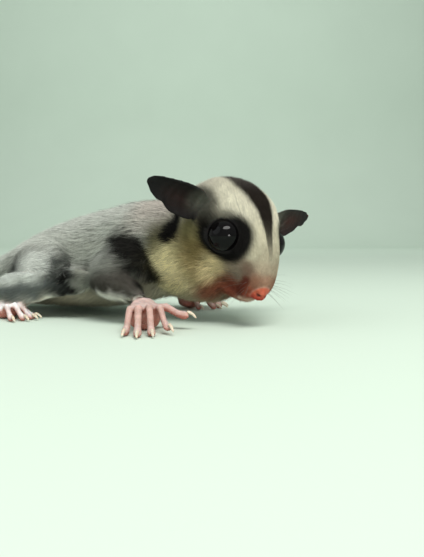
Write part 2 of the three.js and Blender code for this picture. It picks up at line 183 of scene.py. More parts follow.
EYE = {"x": -12.0, "y": 6.8, "z": 6.1, "radius": 3.8}
eye_centre = {side: np.array((EYE["x"], sign * EYE["y"], EYE["z"])) for side, sign in SIDES.items()}
low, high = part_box("eye_right")
solid_at = np.array(low + high) / 2 / MM
print("right eye at", from_head(eye_centre["right"]).round(1), "and its solid at", solid_at.round(1))

# %% [markdown]
# ## Skin, first cast
# On the animal the skin is one piece. The solids are many, 0.3 mm apart. Copies of them are swollen until the seams
# close, two balls fill each eye socket, and a voxel remesh wraps the lot in one even net.

# %% Skin, first cast
FLESH = [name for name in nodes if not name.startswith(("eye", "claw"))]
VOXEL = 0.36
SWELL = 0.25
SOCKET_FILL = [(0.0, -0.1, 4.15), (0.9, -0.4, 3.75)]  # forward, outward, radius
TOE_TRIM = 0.12
WRIST_REACH = (6.0, 3.5)  # where the swelling of a wrist starts and is full
WELD = 0.001
WRISTS = [(50.8, -25.0, 6.8), (44.0, 9.4, 5.8), (4.4, -23.0, 4.8), (3.4, 8.8, 4.8)]


def swell_at(points, is_foot):
    """All parts swell, but toes are trimmed a little, so that the net keeps them apart."""
    reach = np.min([np.linalg.norm(points - np.array(wrist), axis=1) for wrist in WRISTS], axis=0)
    near_wrist = ease(*WRIST_REACH, reach)
    return np.where(is_foot, SWELL * near_wrist - TOE_TRIM * (1 - near_wrist), SWELL)


def flesh_copy(name):
    """All the solids of flesh as one mesh, swollen until they meet, with the eye sockets filled."""
    bm = bmesh.new()
    toes = set()
    for node in FLESH:
        bm.from_mesh(nodes[node].data)
        if node.startswith(("hand", "foot")):
            toes |= {tuple(v.co) for v in nodes[node].data.vertices}
    bmesh.ops.remove_doubles(bm, verts=bm.verts, dist=WELD * MM)
    bm.normal_update()
    places = np.array([vert.co[:] for vert in bm.verts]) / MM
    swell = swell_at(places, np.array([tuple(vert.co) in toes for vert in bm.verts]))
    for vert, amount in zip(bm.verts, swell.tolist()):
        vert.co += vert.normal * amount * MM
    for side, sign in SIDES.items():
        for forward, outward, radius in SOCKET_FILL:
            place = from_head(eye_centre[side] + np.array((forward, sign * outward, 0)))
            ball = Matrix.Translation(Vector(place * MM))
            bmesh.ops.create_icosphere(bm, subdivisions=3, radius=radius * MM, matrix=ball)
    return rounded(name, bm)


def applied(made):
    """The object with its modifiers made part of its mesh."""
    ready = bpy.data.meshes.new_from_object(made.evaluated_get(bpy.context.evaluated_depsgraph_get()))
    made.modifiers.clear()
    old = made.data
    made.data = ready
    bpy.data.meshes.remove(old)
    return made


skin = flesh_copy("skin")
remesh = skin.modifiers.new("one_net", "REMESH")
remesh.mode = "VOXEL"
remesh.voxel_size = VOXEL * MM
applied(skin)
net = edges_of(skin.data)
print("skin cast:", len(skin.data.vertices), "points,", len(skin.data.polygons), "faces")

# %% [markdown]
# ## Which part of the body is each point on
# The nearest CAD face says which solid a point of the skin belongs to. The table gives each part's coat: how deep it
# lies over the skin, how long its hairs are, how many grow on a square millimetre and how thick one tuft is.

# %% Parts of the body
COAT = {  # depth, length, tufts on a square millimetre, width of a tuft, and how much the net is smoothed
    "head": (0.9, 2.2, 56, 0.068, 0.42),
    "jaw": (0.35, 1.0, 36, 0.058, 0.30),
    "nose": (0.0, 0.4, 20, 0.040, 0.30),
    "ear": (0.0, 0.45, 9, 0.035, 0.12),
    "neck": (1.7, 3.9, 24, 0.092, 0.50),
    "trunk": (2.0, 4.9, 17.5, 0.105, 0.50),
    "tail_1": (2.8, 6.0, 15, 0.125, 0.50),
    "tail_2": (3.4, 7.0, 15, 0.130, 0.50),
    "tail_3": (3.4, 7.5, 15, 0.130, 0.50),
    "upper_arm": (1.5, 4.2, 26, 0.092, 0.45),
    "forearm": (0.9, 2.8, 34, 0.078, 0.30),
    "hand": (0.0, 0.65, 7, 0.034, 0.10),
    "thigh": (1.8, 4.8, 22, 0.100, 0.50),
    "shank": (1.2, 3.3, 28, 0.086, 0.40),
    "foot": (0.0, 0.7, 7, 0.034, 0.10),
    "membrane": (0.35, 2.2, 26, 0.075, 0.25),
}
PARTS = list(COAT)


def part_of(node):
    short = {"lower_jaw": "jaw", "nose_pad": "nose"}
    plain = short.get(node, node.removesuffix("_right").removesuffix("_left"))
    return PARTS.index(plain.removeprefix("gliding_"))


def tree_of(names):
    """A search tree over the faces of the named solids, and the part that owns each face."""
    corners, faces, owners = [], [], []
    for name in names:
        start = len(corners)
        corners += [v.co / MM for v in nodes[name].data.vertices]
        for polygon in nodes[name].data.polygons:
            faces.append([start + v for v in polygon.vertices])
            owners.append(part_of(name))
    return BVHTree.FromPolygons(corners, faces), np.array(owners)


cast = points_of(skin.data)
cad_tree, cad_owner = tree_of(FLESH)
nearest = np.array([cad_tree.find_nearest(Vector(p))[2] for p in cast])
part = cad_owner[nearest]
belongs = np.zeros((len(cast), len(PARTS)))
belongs[np.arange(len(cast)), part] = 1
coat_table = np.array([COAT[name] for name in PARTS])


def amount_of(*names):
    """How much of each point belongs to the named parts, 0 to 1."""
    return sum(belongs[:, PARTS.index(name)] for name in names)


print("points:", dict(zip(PARTS, np.bincount(part, minlength=len(PARTS)).tolist())))

# %% [markdown]
# ## Outer form
# The tips of the coat make one soft outline. The faceted solids are smoothed into it, more on the furry trunk than on
# the small toes. The swelling that closed the seams is taken back, a little less on the head, which has shrunk most.

# %% Outer form
SMOOTHING = 34
HEAD_GROWTH = 0.14  # mm that smoothing takes off the head

outer = spread(cast, net, SMOOTHING, coat_table[part, 4])
put_points(skin.data, outer)
is_foot = (part == PARTS.index("hand")) | (part == PARTS.index("foot"))
taken_back = spread(swell_at(outer, is_foot), net, 4)
taken_back -= HEAD_GROWTH * spread((part == PARTS.index("head")).astype(float), net, 8)
outer -= normals_of(skin.data) * taken_back[:, None]
belongs = spread(belongs, net, 10)
put_points(skin.data, outer)
outward = normals_of(skin.data)
print("outer form:", len(outer), "points")

# %% [markdown]
# The skin lies inside the outer form by the coat's depth, which is small on the muzzle and round the eyes and large on
# the cheeks. A ray sent inwards from each point measures how thick the body is, so that a thin part keeps its flesh.

# %% Depth of the coat
THIN_SHARE = 0.56
MUZZLE_THINNER = 0.85
CHEEK_DEEPER = 0.7  # mm
EYE_THINNER = 0.8
ROUND_EYE = (7.0, 4.6)  # from the ball's centre, where the thinner coat starts and is full
RAY_START = 0.05  # just under the surface, so that the ray doesn't meet its own face
NO_FAR_SIDE = 30.0

x, _, z = in_head(outer).T
muzzle = ease(-15, -3, x) * amount_of("head")
cheek = ease(3, -4, z) * ease(-7, -13, x) * amount_of("head")
depth = (belongs @ coat_table)[:, 0] * (1 - MUZZLE_THINNER * muzzle) + CHEEK_DEEPER * cheek
for side in SIDES:
    away = np.linalg.norm(in_head(outer) - eye_centre[side], axis=1)
    depth *= 1 - EYE_THINNER * ease(*ROUND_EYE, away) * amount_of("head")

outer_tree = BVHTree.FromPolygons([Vector(p) for p in outer], [p.vertices[:] for p in skin.data.polygons])
thickness = np.empty(len(outer))
for i, (point, normal) in enumerate(zip(outer, outward)):
    inward = -Vector(normal)
    hit = outer_tree.ray_cast(Vector(point) + inward * RAY_START, inward)
    thickness[i] = hit[3] if hit[0] is not None else NO_FAR_SIDE
depth = spread(np.minimum(depth, THIN_SHARE * thickness / 2), net, 14)
inner = spread(outer - outward * depth[:, None], net, 4, 0.4 * (depth > 0.3))
print("coat depth, mean on the trunk:", depth[part == PARTS.index("trunk")].mean().round(2), "mm")

# %% [markdown]
# ## Finer net on the face
# Lids and nostrils need smaller faces than a back does. Faces near the eyes and on the nose are cut in four before
# they are shaped. The coat keeps growing from the same net, so every list of values is carried over to the new points.

# %% Finer net on the face
FINE_EYE = 6.0
FINE_NOSE = -5.0

put_points(skin.data, inner)
bm = bmesh.new()
bm.from_mesh(skin.data)
carried = {"depth": depth[:, None], "outer": outer, "belongs": belongs}
layers = []
for key, values in carried.items():
    for k in range(values.shape[1]):
        layers.append((bm.verts.layers.float.new(f"{key}{k}"), key, k))
bm.verts.ensure_lookup_table()
for layer, key, k in layers:
    for vert, value in zip(bm.verts, carried[key][:, k].tolist()):
        vert[layer] = value
at_head = in_head(inner)
fine = at_head[:, 0] > FINE_NOSE
for side in SIDES:
    fine |= np.linalg.norm(at_head - eye_centre[side], axis=1) < FINE_EYE
near_face = [edge for edge in bm.edges if fine[edge.verts[0].index] and fine[edge.verts[1].index]]
bmesh.ops.subdivide_edges(bm, edges=near_face, cuts=1, use_grid_fill=True)
bmesh.ops.triangulate(bm, faces=[face for face in bm.faces if len(face.verts) > 4])
bm.verts.ensure_lookup_table()
for key, values in carried.items():
    carried[key] = np.empty((len(bm.verts), values.shape[1]))
for layer, key, k in layers:
    carried[key][:, k] = [vert[layer] for vert in bm.verts]
for layer, key, k in layers:
    bm.verts.layers.float.remove(bm.verts.layers.float[f"{key}{k}"])
bm.to_mesh(skin.data)
bm.free()
depth, outer, belongs = carried["depth"][:, 0], carried["outer"], carried["belongs"]
part = belongs.argmax(axis=1)
inner = points_of(skin.data)
net = edges_of(skin.data)
print("skin net with a finer face:", len(inner), "points")

# %% [markdown]
# ## Eye sockets and lids
# A glider's eye is a large ball that bulges from the head, held by a thin dark lid. Seen from the ball's centre, the
# skin lies under the ball inside the opening, rises over it in a small rounded rim, and then meets the face. Each
# point moves along its own ray from that centre, so the rim can't tear.

# %% Eye sockets and lids
GAZE = np.array((0.52, 0.79, 0.33))
OPENING = np.radians((74, 67))  # half angles along the slit and across it
LID_RISE = 0.28
UNDER_BALL = 0.55
LID_WIDTH = 1.8
OPEN_EDGE = (1.04, 0.88)  # shares of the opening between which the skin dips under the ball
LID_HOLD = (1.9, 1.35)  # shares between which the face starts to follow the ball
LID_CREST, LID_HALF = 1.03, 0.07
LID_FADE = (0.7, 0.2)  # over the rim, where the lid's colour ends

lid_line = np.zeros(len(inner))
socket = np.zeros(len(inner))


def around_eye(points, side):
    """Distance from the ball's centre, and the angle from the gaze as a share of the opening."""
    sign = SIDES[side]
    gaze = unit(GAZE * (1, sign, 1))
    along = unit(np.array((1.0, 0, 0)) - gaze[0] * gaze)
    across = np.cross(gaze, along)
    ray = in_head(points) - eye_centre[side]
    reach = np.linalg.norm(ray, axis=1)
    ray = ray / np.maximum(reach, 1e-6)[:, None]
    angle = np.arccos(np.clip(ray @ gaze, -1, 1))
    way = np.arctan2(ray @ across, ray @ along)
    opening = 1 / np.hypot(np.cos(way) / OPENING[0], np.sin(way) / OPENING[1])
    return reach, angle / opening


def set_lids(points, side):
    """The points moved along their rays, how much each is on the lid, and whether it is under the ball."""
    reach, share = around_eye(points, side)
    rim = EYE["radius"] + LID_RISE
    beyond = reach - rim
    target = rim + beyond * ease(-0.3, LID_WIDTH, beyond)
    under = EYE["radius"] - UNDER_BALL
    opened = ease(*OPEN_EDGE, share)
    near = (share < LID_HOLD[0]) & (beyond < LID_WIDTH)
    held = near * ease(*LID_HOLD, share)
    target = reach + held * (target * (1 - opened) + under * opened - reach)
    local = in_head(points)
    moved = eye_centre[side] + (local - eye_centre[side]) * (target / np.maximum(reach, 1e-6))[:, None]
    lid = np.exp(-(((share - LID_CREST) / LID_HALF) ** 2))
    lid *= ease(rim + LID_FADE[0], rim + LID_FADE[1], target)
    return np.where(near[:, None], from_head(moved), points), lid, (share < 1.0) & (target < rim)


for side in SIDES:
    inner, lid, inside = set_lids(inner, side)
    lid_line = np.maximum(lid_line, lid)
    socket = np.maximum(socket, inside)
print("points on the lids:", int((lid_line > 0.5).sum()), "and under the balls:", int(socket.sum()))

# %% [markdown]
# ## Nose, mouth and whisker pads
# The bare nose pad has two slits that open sideways, and a groove between them that runs down to the lip. A crease
# parts the lips and ends under the eye. Each is a soft push of the skin inwards, with its place and radii in the
# head's axes, and the whisker pads are a push outwards.

# %% Nose, mouth and whisker pads
PUSHES = [  # x, y, z, radii x, y, z, and how far along the normal
    (0.70, 1.00, -0.95, 0.48, 0.42, 0.32, -0.75),  # nostril
    (0.20, 1.55, -0.65, 0.60, 0.36, 0.22, -0.50),  # its side slit
    (0.90, 0.0, -0.90, 0.90, 0.16, 0.90, -0.24),  # groove between the nostrils
    (-0.6, 0.0, -2.5, 1.2, 0.18, 1.1, -0.28),  # groove in the upper lip
    (-2.6, 2.4, -1.4, 1.4, 1.1, 1.1, 0.26),  # whisker pad
    (0.1, 1.60, 0.15, 0.60, 0.42, 0.28, 0.20),  # wing over the nostril
    (-2.6, 3.9, 0.2, 0.9, 0.7, 1.6, -0.22),  # fold beside the muzzle
]
MOUTH = {"front": (-1.3, -3.05), "middle": (-5.0, -3.25), "corner": (-8.6, -3.0)}
CREASE_WIDTH = 0.34
CREASE_DEPTH = 0.42


def pushed(points, normals):
    """The points with every push added on both sides. One on the midline counts half each time."""
    local = in_head(points)
    for x, y, z, rx, ry, rz, amount in PUSHES:
        for sign in (-1, 1):
            offset = (local - np.array((x, sign * y, z))) / np.array((rx, ry, rz))
            share = 0.5 if y == 0 else 1.0
            points = points + normals * (amount * share * np.exp(-(offset**2).sum(axis=1)))[:, None]
    return points


def mouth_line(local):
    """How near each point is to the line of the mouth, 1 on it and 0 away from it."""
    places = np.array(list(MOUTH.values()))[::-1]
    height = np.interp(local[:, 0], places[:, 0], places[:, 1])
    ends = ease(MOUTH["corner"][0] - 0.6, MOUTH["corner"][0] + 1.2, local[:, 0])
    return np.exp(-(((local[:, 2] - height) / CREASE_WIDTH) ** 2)) * ends


put_points(skin.data, inner)
inner = pushed(inner, normals_of(skin.data))
face_only = ease(-12, -9, in_head(inner)[:, 0]) * amount_of("head", "jaw", "nose")
crease = mouth_line(in_head(inner)) * face_only
put_points(skin.data, inner)
inner = inner - normals_of(skin.data) * (CREASE_DEPTH * crease)[:, None]
inner = spread(inner, net, 2, 0.3 * (in_head(inner)[:, 0] > FINE_NOSE))
put_points(skin.data, inner)
print("points in the mouth's crease:", int((crease > 0.5).sum()))

# %% [markdown]
# ## Ears
# The ears are bare, thin leaves. Their edge is a small rolled rim, the inside is hollow, and low ridges cross it. The
# ridges and the hollow are pushed into the leaf by how far along and across it each point lies.

# %% Ears
EAR_EDGE = 0.30  # the net rounds the thin edge off, so it is drawn out again
NOTCH = 0.55  # in the lower edge, two thirds of the way out
HOLLOW, RIDGE, RIM, FOLD = -0.50, 0.07, 0.30, 0.35  # heights along the way the ear faces
RIDGES = 7.5
EAR_LENGTH = 16.0
EAR_FOOT = np.array((-18.2, 10.0, 9.0))
EAR_WAY = np.array((-0.17, 0.975, 0.14))
EAR_STEPS = 12


def edges_along(share, across):
    """The ear's lower and upper edge at each point, from the widest points of each short stretch."""
    bins = np.clip((share * EAR_STEPS).astype(int), 0, EAR_STEPS)
    stops = (np.arange(EAR_STEPS + 1) + 0.5) / EAR_STEPS
    for widest in (np.min, np.max):
        edge = [widest(across[bins == k]) if (bins == k).any() else 0 for k in range(EAR_STEPS + 1)]
        yield np.interp(share, stops, edge)


EAR_AXES = {}
for side, sign in SIDES.items():
    on = (amount_of("ear") > 0.5) & (in_head(inner)[:, 1] * sign > 0)
    leaf = in_head(inner[on])
    leaf_way = unit(EAR_WAY * (1, sign, 1))
    scatter = np.cov((leaf - leaf.mean(axis=0)).T)
    facing = np.linalg.eigh(scatter)[1][:, 0]  # the leaf's thinnest way
    facing *= np.sign(facing[0])
    beside = unit(np.cross(leaf_way, facing))
    beside *= np.sign(beside[2])
    facing = np.cross(beside, leaf_way)
    facing *= np.sign(facing[0])
    share = (leaf - EAR_FOOT * (1, sign, 1)) @ leaf_way / EAR_LENGTH
    across = (leaf - leaf.mean(axis=0)) @ beside
    low_edge, high_edge = edges_along(share, across)
    over = 2 * (across - low_edge) / np.maximum(high_edge - low_edge, 0.5) - 1
    in_front = ease(-0.1, 0.5, (normals_of(skin.data)[on] @ head_axes) @ facing)
    reach = ease(0.10, 0.3, share) * ease(1.0, 0.8, share)
    hollow = HOLLOW * (1 - over**2).clip(0) * reach
    wave = np.sin(2 * math.pi * (RIDGES * share + 0.35 * over**2 + 0.15 * np.sin(9 * share + 2 * over)))
    ridges = RIDGE * wave * (1 - over**2).clip(0) * in_front * ease(0.85, 0.6, share) * reach
    rim = RIM * ease(0.72, 0.95, np.abs(over)) * reach
    fold = FOLD * np.exp(-(((over + 0.25) / 0.16) ** 2)) * ease(0.62, 0.25, share) * reach * in_front
    shift = facing * (hollow + ridges + rim + fold)[:, None]
    edge = np.sign(over) * EAR_EDGE * ease(0.45, 0.95, np.abs(over)) * ease(0.1, 0.3, share)
    edge += NOTCH * np.exp(-(((share - 0.66) / 0.06) ** 2)) * ease(-0.2, -0.9, over)
    shift += beside * edge[:, None] + leaf_way * (EAR_EDGE * ease(0.8, 1.0, share))[:, None]
    inner[on] = from_head(leaf + shift)
    EAR_AXES[side] = (on, share, over, in_front)
    print(side, "ear:", int(on.sum()), "points, facing", facing.round(2))
put_points(skin.data, inner)

# %% [markdown]
# ## Markings
# Skin and coat share one set of markings: a dark stripe from the forehead along the back, black rings round the
# eyes, a black patch behind each ear, cream cheeks, grey flanks and dark patches at shoulder and knee. Each is a soft
# shape in space. A point gets its colour from where it lies, so the markings run over every seam. Some tones among
# them are painted shade and painted light, and each says so where it is set.


# %% Helpers for markings
WAVES = 5


def blob(points, centre, radii, soft):
    """1 inside an ellipsoid, 0 outside, with a soft edge."""
    reach = np.linalg.norm((points - np.array(centre)) / np.array(radii), axis=1)
    return ease(1 + soft, 1 - soft, reach)


def capsule(points, start, end, radius, soft):
    """1 inside a rod with round ends, 0 outside, with a soft edge."""
    start, end = np.array(start), np.array(end)
    way = end - start
    share = np.clip((points - start) @ way / (way @ way), 0, 1)
    reach = np.linalg.norm(points - start - share[:, None] * way, axis=1) / radius
    return ease(1 + soft, 1 - soft, reach)


def wander(points, scale, seed):
    """A slow wave in space, about -1 to 1, for ragged edges and for locks that lean together."""
    chance = np.random.default_rng(seed)
    total = np.zeros(len(points))
    for _ in range(WAVES):
        way = unit(chance.normal(size=3)) * scale
        total += np.sin(points @ way * 2 * math.pi + chance.uniform(0, 6.3))
    return total / 3


def tones(points, table_of_tones):
    """A smooth blend of named tones, each strongest round its own place."""
    total = np.zeros((len(points), 3))
    weight = np.zeros((len(points), 1))
    for place, radius, tone in table_of_tones.values():
        near = np.exp(-(np.linalg.norm(points - np.array(place), axis=1, keepdims=True) / radius) ** 2) + 1e-9
        total += near * np.array(tone)
        weight += near
    return total / weight


def paint(colours, tone, mask):
    """The colours drawn towards one tone, or towards one tone for each point, by the mask's share."""
    return colours + (np.array(tone) - colours) * mask[:, None]


def layered(colours, layers):
    for tone, mask in layers:
        colours = paint(colours, tone, mask)
    return colours


# %% [markdown]
# The face fades from one tone to the next, as short fur does, so its tones are places that blend. The marks with a
# clearer edge are shapes laid over them in turn. The stripe is given by its middle and half width along the head.

# %% Tones of the coat
FACE_TONES = {  # place in the head's axes with y to the side, radius, colour
    "crown": ((-20, 6, 15), 6.0, (0.61, 0.59, 0.46)),
    "forehead": ((-12, 5, 13), 4.0, (0.66, 0.635, 0.50)),
    "brow": ((-7, 2.5, 10), 3.5, (0.56, 0.53, 0.39)),
    "bridge": ((-3.7, 1.5, 7.6), 2.4, (0.40, 0.365, 0.26)),
    "bridge_foot": ((-1.4, 2.0, 4.8), 1.7, (0.40, 0.33, 0.235)),
    "nape": ((-28, 5, 12), 5.0, (0.36, 0.33, 0.285)),
    "under_eye": ((-6.2, 5.7, 1.6), 2.2, (0.26, 0.215, 0.155)),
    # painted shade: the side of the muzzle is drawn darker than its fur, as the shade on that side
    "muzzle_side_shade": ((-3.2, 4.2, 2.8), 1.6, (0.17, 0.108, 0.076)),
    "muzzle_front": ((-0.9, 2.7, 2.2), 1.4, (0.27, 0.125, 0.078)),
    "muzzle_middle": ((-0.2, 0.7, 2.2), 1.3, (0.38, 0.22, 0.15)),
    # The next three tones, on the lip, the low cheek and the side of the jaw, are partly the skin's own red and partly
    # painted shadow of the lower face, tinted by red light bounced from below.
    "lip": ((-1.7, 3.0, -1.4), 1.4, (0.27, 0.075, 0.045)),
    "low_cheek_shade": ((-6.6, 4.3, -2.4), 2.2, (0.20, 0.048, 0.028)),
    "jaw_side_shade": ((-8.5, 4.2, -6.3), 2.7, (0.21, 0.055, 0.030)),
    "chin": ((-3, 0, -5.2), 2.0, (0.36, 0.18, 0.13)),
    "cheek": ((-14, 11, -2), 4.0, (0.21, 0.155, 0.060)),
    "front_cheek": ((-10.0, 8.0, -1.4), 2.6, (0.90, 0.74, 0.42)),
    "jowl": ((-18, 12.5, -8.5), 4.6, (0.90, 0.79, 0.45)),
    "throat": ((-15, 0, -13), 6.0, (0.40, 0.34, 0.24)),
    # painted shadow: the front of the throat is drawn dark red, as shade under the chin with red light bounced from
    # below
    "throat_front_shade": ((-10, 4, -9.3), 2.6, (0.22, 0.070, 0.040)),
    "temple": ((-17, 12.2, 4), 2.4, (0.18, 0.157, 0.070)),
    "behind_ear": ((-25, 12, 6), 3.0, (0.27, 0.255, 0.19)),
    # painted shade: the side of the neck under the head is drawn dark olive, as the shade there
    "side_of_neck_shade": ((-27, 15, -4), 3.5, (0.075, 0.070, 0.036)),
    "back_of_head": ((-31, 3, 5), 7.0, (0.42, 0.395, 0.335)),
}
STRIPE_TONE = (0.016, 0.0125, 0.0095)
STRIPE_REAR = (0.040, 0.034, 0.031)
BLACK = (0.005, 0.0045, 0.004)
DARK = (0.040, 0.037, 0.032)
BACK_GREY = (0.50, 0.52, 0.47)
FLANK_GREY = (0.34, 0.355, 0.31)
BELLY_CREAM = (0.55, 0.49, 0.38)
SNOW = (0.74, 0.72, 0.64)
STRIPE = [  # x in the head's axes, middle of the stripe, half width, strength
    (-34.0, 0.0, 2.6, 0.80),
    (-26.0, 0.2, 3.8, 0.92),
    (-19.0, 0.4, 4.6, 1.0),
    (-15.8, 0.4, 3.9, 1.0),
    (-12.7, 0.3, 3.1, 1.0),
    (-9.0, 0.1, 1.95, 1.0),
    (-6.4, -0.3, 1.05, 0.95),
    (-4.4, -0.5, 0.75, 0.75),
    (-2.6, -0.5, 0.5, 0.30),
    (-1.6, -0.5, 0.4, 0.0),
]


def head_stripe(local):
    columns = np.array(STRIPE).T
    middle_line, half, strength = (np.interp(local[:, 0], columns[0], column) for column in columns[1:])
    off = np.abs(local[:, 1] - middle_line) / half
    return ease(1.22, 0.80, off) * strength * ease(0, 4, local[:, 2])


def eye_ring(sided, centre, below, above):
    """A ring a little taller over the eye than under it, and cut off before it meets the stripe."""
    low = sided[:, 2] < centre[2]
    ring = np.where(low, blob(sided, centre, below, 0.15), blob(sided, centre, above, 0.15))
    return ring * ease(2.3, 3.6, sided[:, 1])


FACE_MARKS = [  # tone, strength, shape and what the shape needs, in the head's axes with y to the side
    ((0.075, 0.065, 0.048), 0.75, capsule, (-14.8, 9.8, 8.4), (-18.5, 11.0, 10.0), 3.3, 0.6),  # eye towards ear
    ((0.014, 0.011, 0.008), 0.95, capsule, (-13.4, 10.2, 7.0), (-17.4, 12.2, 8.4), 2.2, 0.5),  # its dark middle
    (BLACK, 1.0, eye_ring, (-10.7, 7.2, 6.3), (6.0, 9, 5.2), (6.0, 9, 5.9)),
    (BLACK, 1.0, capsule, (-24.6, 12.4, 5.5), (-22.6, 13.6, -0.4), 2.5, 0.3),  # patch behind the ear
    ((0.060, 0.060, 0.048), 0.92, blob, (-20.6, 11.0, 10.2), (5.2, 3.6, 3.9), 0.35),  # foot of the ear
    # painted shade: the fold beside the muzzle is drawn dark red, as the shade in that crease
    ((0.11, 0.020, 0.012), 0.85, capsule, (-2.5, 4.1, 0.9), (-3.6, 3.2, -3.0), 1.05, 0.6),  # fold of the muzzle
    ((0.36, 0.060, 0.040), 0.8, capsule, (0.9, 0.6, -2.5), (-1.7, 3.4, -2.9), 0.8, 0.5),  # rim of the upper lip
    ((0.60, 0.42, 0.33), 0.8, capsule, (-2.0, 0.0, -4.0), (-3.4, 2.4, -4.3), 0.5, 0.5),  # lower lip
]


def face_colours(local):
    sided = local * (1, 0, 1) + np.abs(local) * (0, 1, 0)
    colours = tones(sided, FACE_TONES)
    stripe_tone = paint(np.tile(STRIPE_TONE, (len(local), 1)), STRIPE_REAR, ease(-16, -21, local[:, 0]))
    stripe = head_stripe(local)[:, None]
    colours = colours * (1 - stripe) + stripe_tone * stripe
    marks = [(tone, strength * shape(sided, *needs)) for tone, strength, shape, *needs in FACE_MARKS]
    return layered(colours, marks)


print(len(FACE_TONES), "tones and", len(FACE_MARKS), "marks on the face")

# %% [markdown]
# ## Lines along the body
# The spine, the limbs and the tail are each followed by a short line of joints, in millimetres. The lines say which
# way hair lies, how far along a limb a point is, and how to unwrap it for baking.

# %% Lines along the body
SPINE = [(66, -14.5, 17), (48, -8, 17), (24, -7.2, 15), (0, -6.9, 10)]
TAIL = [
    (-0.6, -6.7, 9.0), (-11.6, -5.9, 7.6), (-23.6, -3.6, 6.7), (-35.6, 0.2, 6.5), (-47.6, 5.6, 6.4),
    (-58.6, 12.6, 6.2), (-68.6, 21.2, 5.7), (-76.6, 30.8, 4.7), (-82.1, 40.8, 3.0),
]
MIDLINE = np.array([(x, y) for x, y, _ in TAIL[::-1] + SPINE[::-1]]).T
LIMBS = {
    "right": {
        "arm": [(46.9, -15.8, 16), (34.8, -21.4, 10), (50.8, -25.0, 6.8), (55.4, -32.5, 2.5)],
        "leg": [(8.4, -14.7, 12.4), (27.8, -21.2, 12.2), (4.4, -23.0, 4.8), (17.0, -27.5, 2.2)],
    },
    "left": {
        "arm": [(45.4, 1.4, 15.6), (31.8, 6.4, 9.4), (44.0, 9.4, 5.8), (55.0, 14.0, 2.5)],
        "leg": [(7.4, 0.3, 12.4), (25.6, 6.8, 12.0), (3.4, 8.8, 4.8), (16.0, 13.5, 2.2)],
    },
}
LIMB_PARTS = {"upper_arm": ("arm", 0), "forearm": ("arm", 1), "hand": ("arm", 2),
              "thigh": ("leg", 0), "shank": ("leg", 1), "foot": ("leg", 2)}
EAR_ROOT = {side: from_head(EAR_FOOT * (1, sign, 1)) for side, sign in SIDES.items()}
EAR_TIP = {side: from_head((-20.9, sign * 25.4, 11.2)) for side, sign in SIDES.items()}


def along(points, line):
    """The way of the line's stretch nearest to each point, and how far along the whole line that is, 0 to 1."""
    line = np.array(line, float)
    ways = np.diff(line, axis=0)
    lengths = np.linalg.norm(ways, axis=1)
    best = np.full(len(points), np.inf)
    heading = np.zeros((len(points), 3))
    travelled = np.zeros(len(points))
    for k, way in enumerate(ways):
        share = np.clip((points - line[k]) @ way / lengths[k] ** 2, 0, 1)
        reach = np.linalg.norm(points - line[k] - share[:, None] * way, axis=1)
        closer = reach < best
        best = np.where(closer, reach, best)
        heading[closer] = way / lengths[k]
        travelled = np.where(closer, lengths[:k].sum() + share * lengths[k], travelled)
    return heading, travelled / lengths.sum()


def flat_on(ways, normals):
    """The ways laid flat on the surface."""
    return unit(ways - (ways * normals).sum(axis=1, keepdims=True) * normals)


def side_of(points):
    """True on the animal's left, seen along its spine."""
    return points[:, 1] > np.interp(points[:, 0], *MIDLINE)


print("lines along the spine, the tail and", sum(len(limbs) for limbs in LIMBS.values()), "limbs")

# %% [markdown]
# ## Lie of the coat
# Hair lies backwards along the head and the trunk, and down each limb. Round the eye it turns aside. The ways are set
# part by part, laid flat on the surface, and blended over the seams.

# %% Lie of the coat
PARTING = (3.0, 0, 1.0)  # in the head's axes: the fur of the face runs away from here
HAIR_FALL = -0.28
MEMBRANE_LIE = (-0.75, 0, -0.7)

is_left = side_of(outer)
lie = np.zeros_like(outer)
limb_share = np.zeros(len(outer))
local = in_head(outer)
for index, name in enumerate(PARTS):
    on = part == index
    if name in ("head", "jaw", "nose"):
        lie[on] = unit(local[on] - np.array(PARTING)) @ head_axes.T
    elif name in ("neck", "trunk"):
        heading, _ = along(outer[on], SPINE)
        lie[on] = heading + np.array((0, 0, HAIR_FALL))
    elif name.startswith("tail"):
        lie[on], limb_share[on] = along(outer[on], TAIL)
    elif name == "membrane":
        lie[on] = MEMBRANE_LIE
    for side in SIDES:
        chosen = on & (is_left == (side == "left"))
        if name in LIMB_PARTS:
            limb, k = LIMB_PARTS[name]
            start, end = np.array(LIMBS[side][limb][k:k + 2])
            way = end - start
            lie[chosen] = unit(way)
            limb_share[chosen] = (outer[chosen] - start) @ way / (way @ way)
        elif name == "ear":
            lie[chosen] = unit(EAR_TIP[side] - EAR_ROOT[side])
            limb_share[chosen] = np.linalg.norm(outer[chosen] - EAR_ROOT[side], axis=1) / EAR_LENGTH

for side in SIDES:
    ray = local - eye_centre[side]
    reach = np.linalg.norm(ray, axis=1)
    ray = unit(ray) @ head_axes.T
    round_eye = ease(9.0, 4.6, reach) * (amount_of("head") > 0.3)
    towards = np.minimum((lie * ray).sum(axis=1), 0)
    lie += round_eye[:, None] * ray * (0.25 - 0.92 * towards)[:, None]
put_points(skin.data, outer)
outward = normals_of(skin.data)
lie = spread(flat_on(lie, outward), net, 28)
lie = flat_on(lie, outward)
print("lie of the coat set on", len(lie), "points")

# %% [markdown]
# ## Colours of every point
# The body is painted from back to belly first, and then the marks are laid over it one after another. The bare parts
# get their own colours: a pink nose and pink hands with paler backs, and ears that are almost black.

# %% Colours of every point
SKIN_PINK = (0.47, 0.30, 0.262)
PALM_RED = (0.39, 0.135, 0.105)
NOSE_PINK = (0.43, 0.095, 0.052)
NOSE_RED = (0.31, 0.032, 0.017)
EAR_DARK = (0.003, 0.0026, 0.0026)
EAR_FUR = (0.075, 0.073, 0.059)
LID_BLACK = (0.005, 0.004, 0.004)
# painted light: the left ear is drawn this many times lighter than the right, as if more light fell on it
LEFT_EAR_PAINTED_LIGHT = 3.2
MIDDLE_Y = -7.22  # the marks of the right side are mirrored about this line

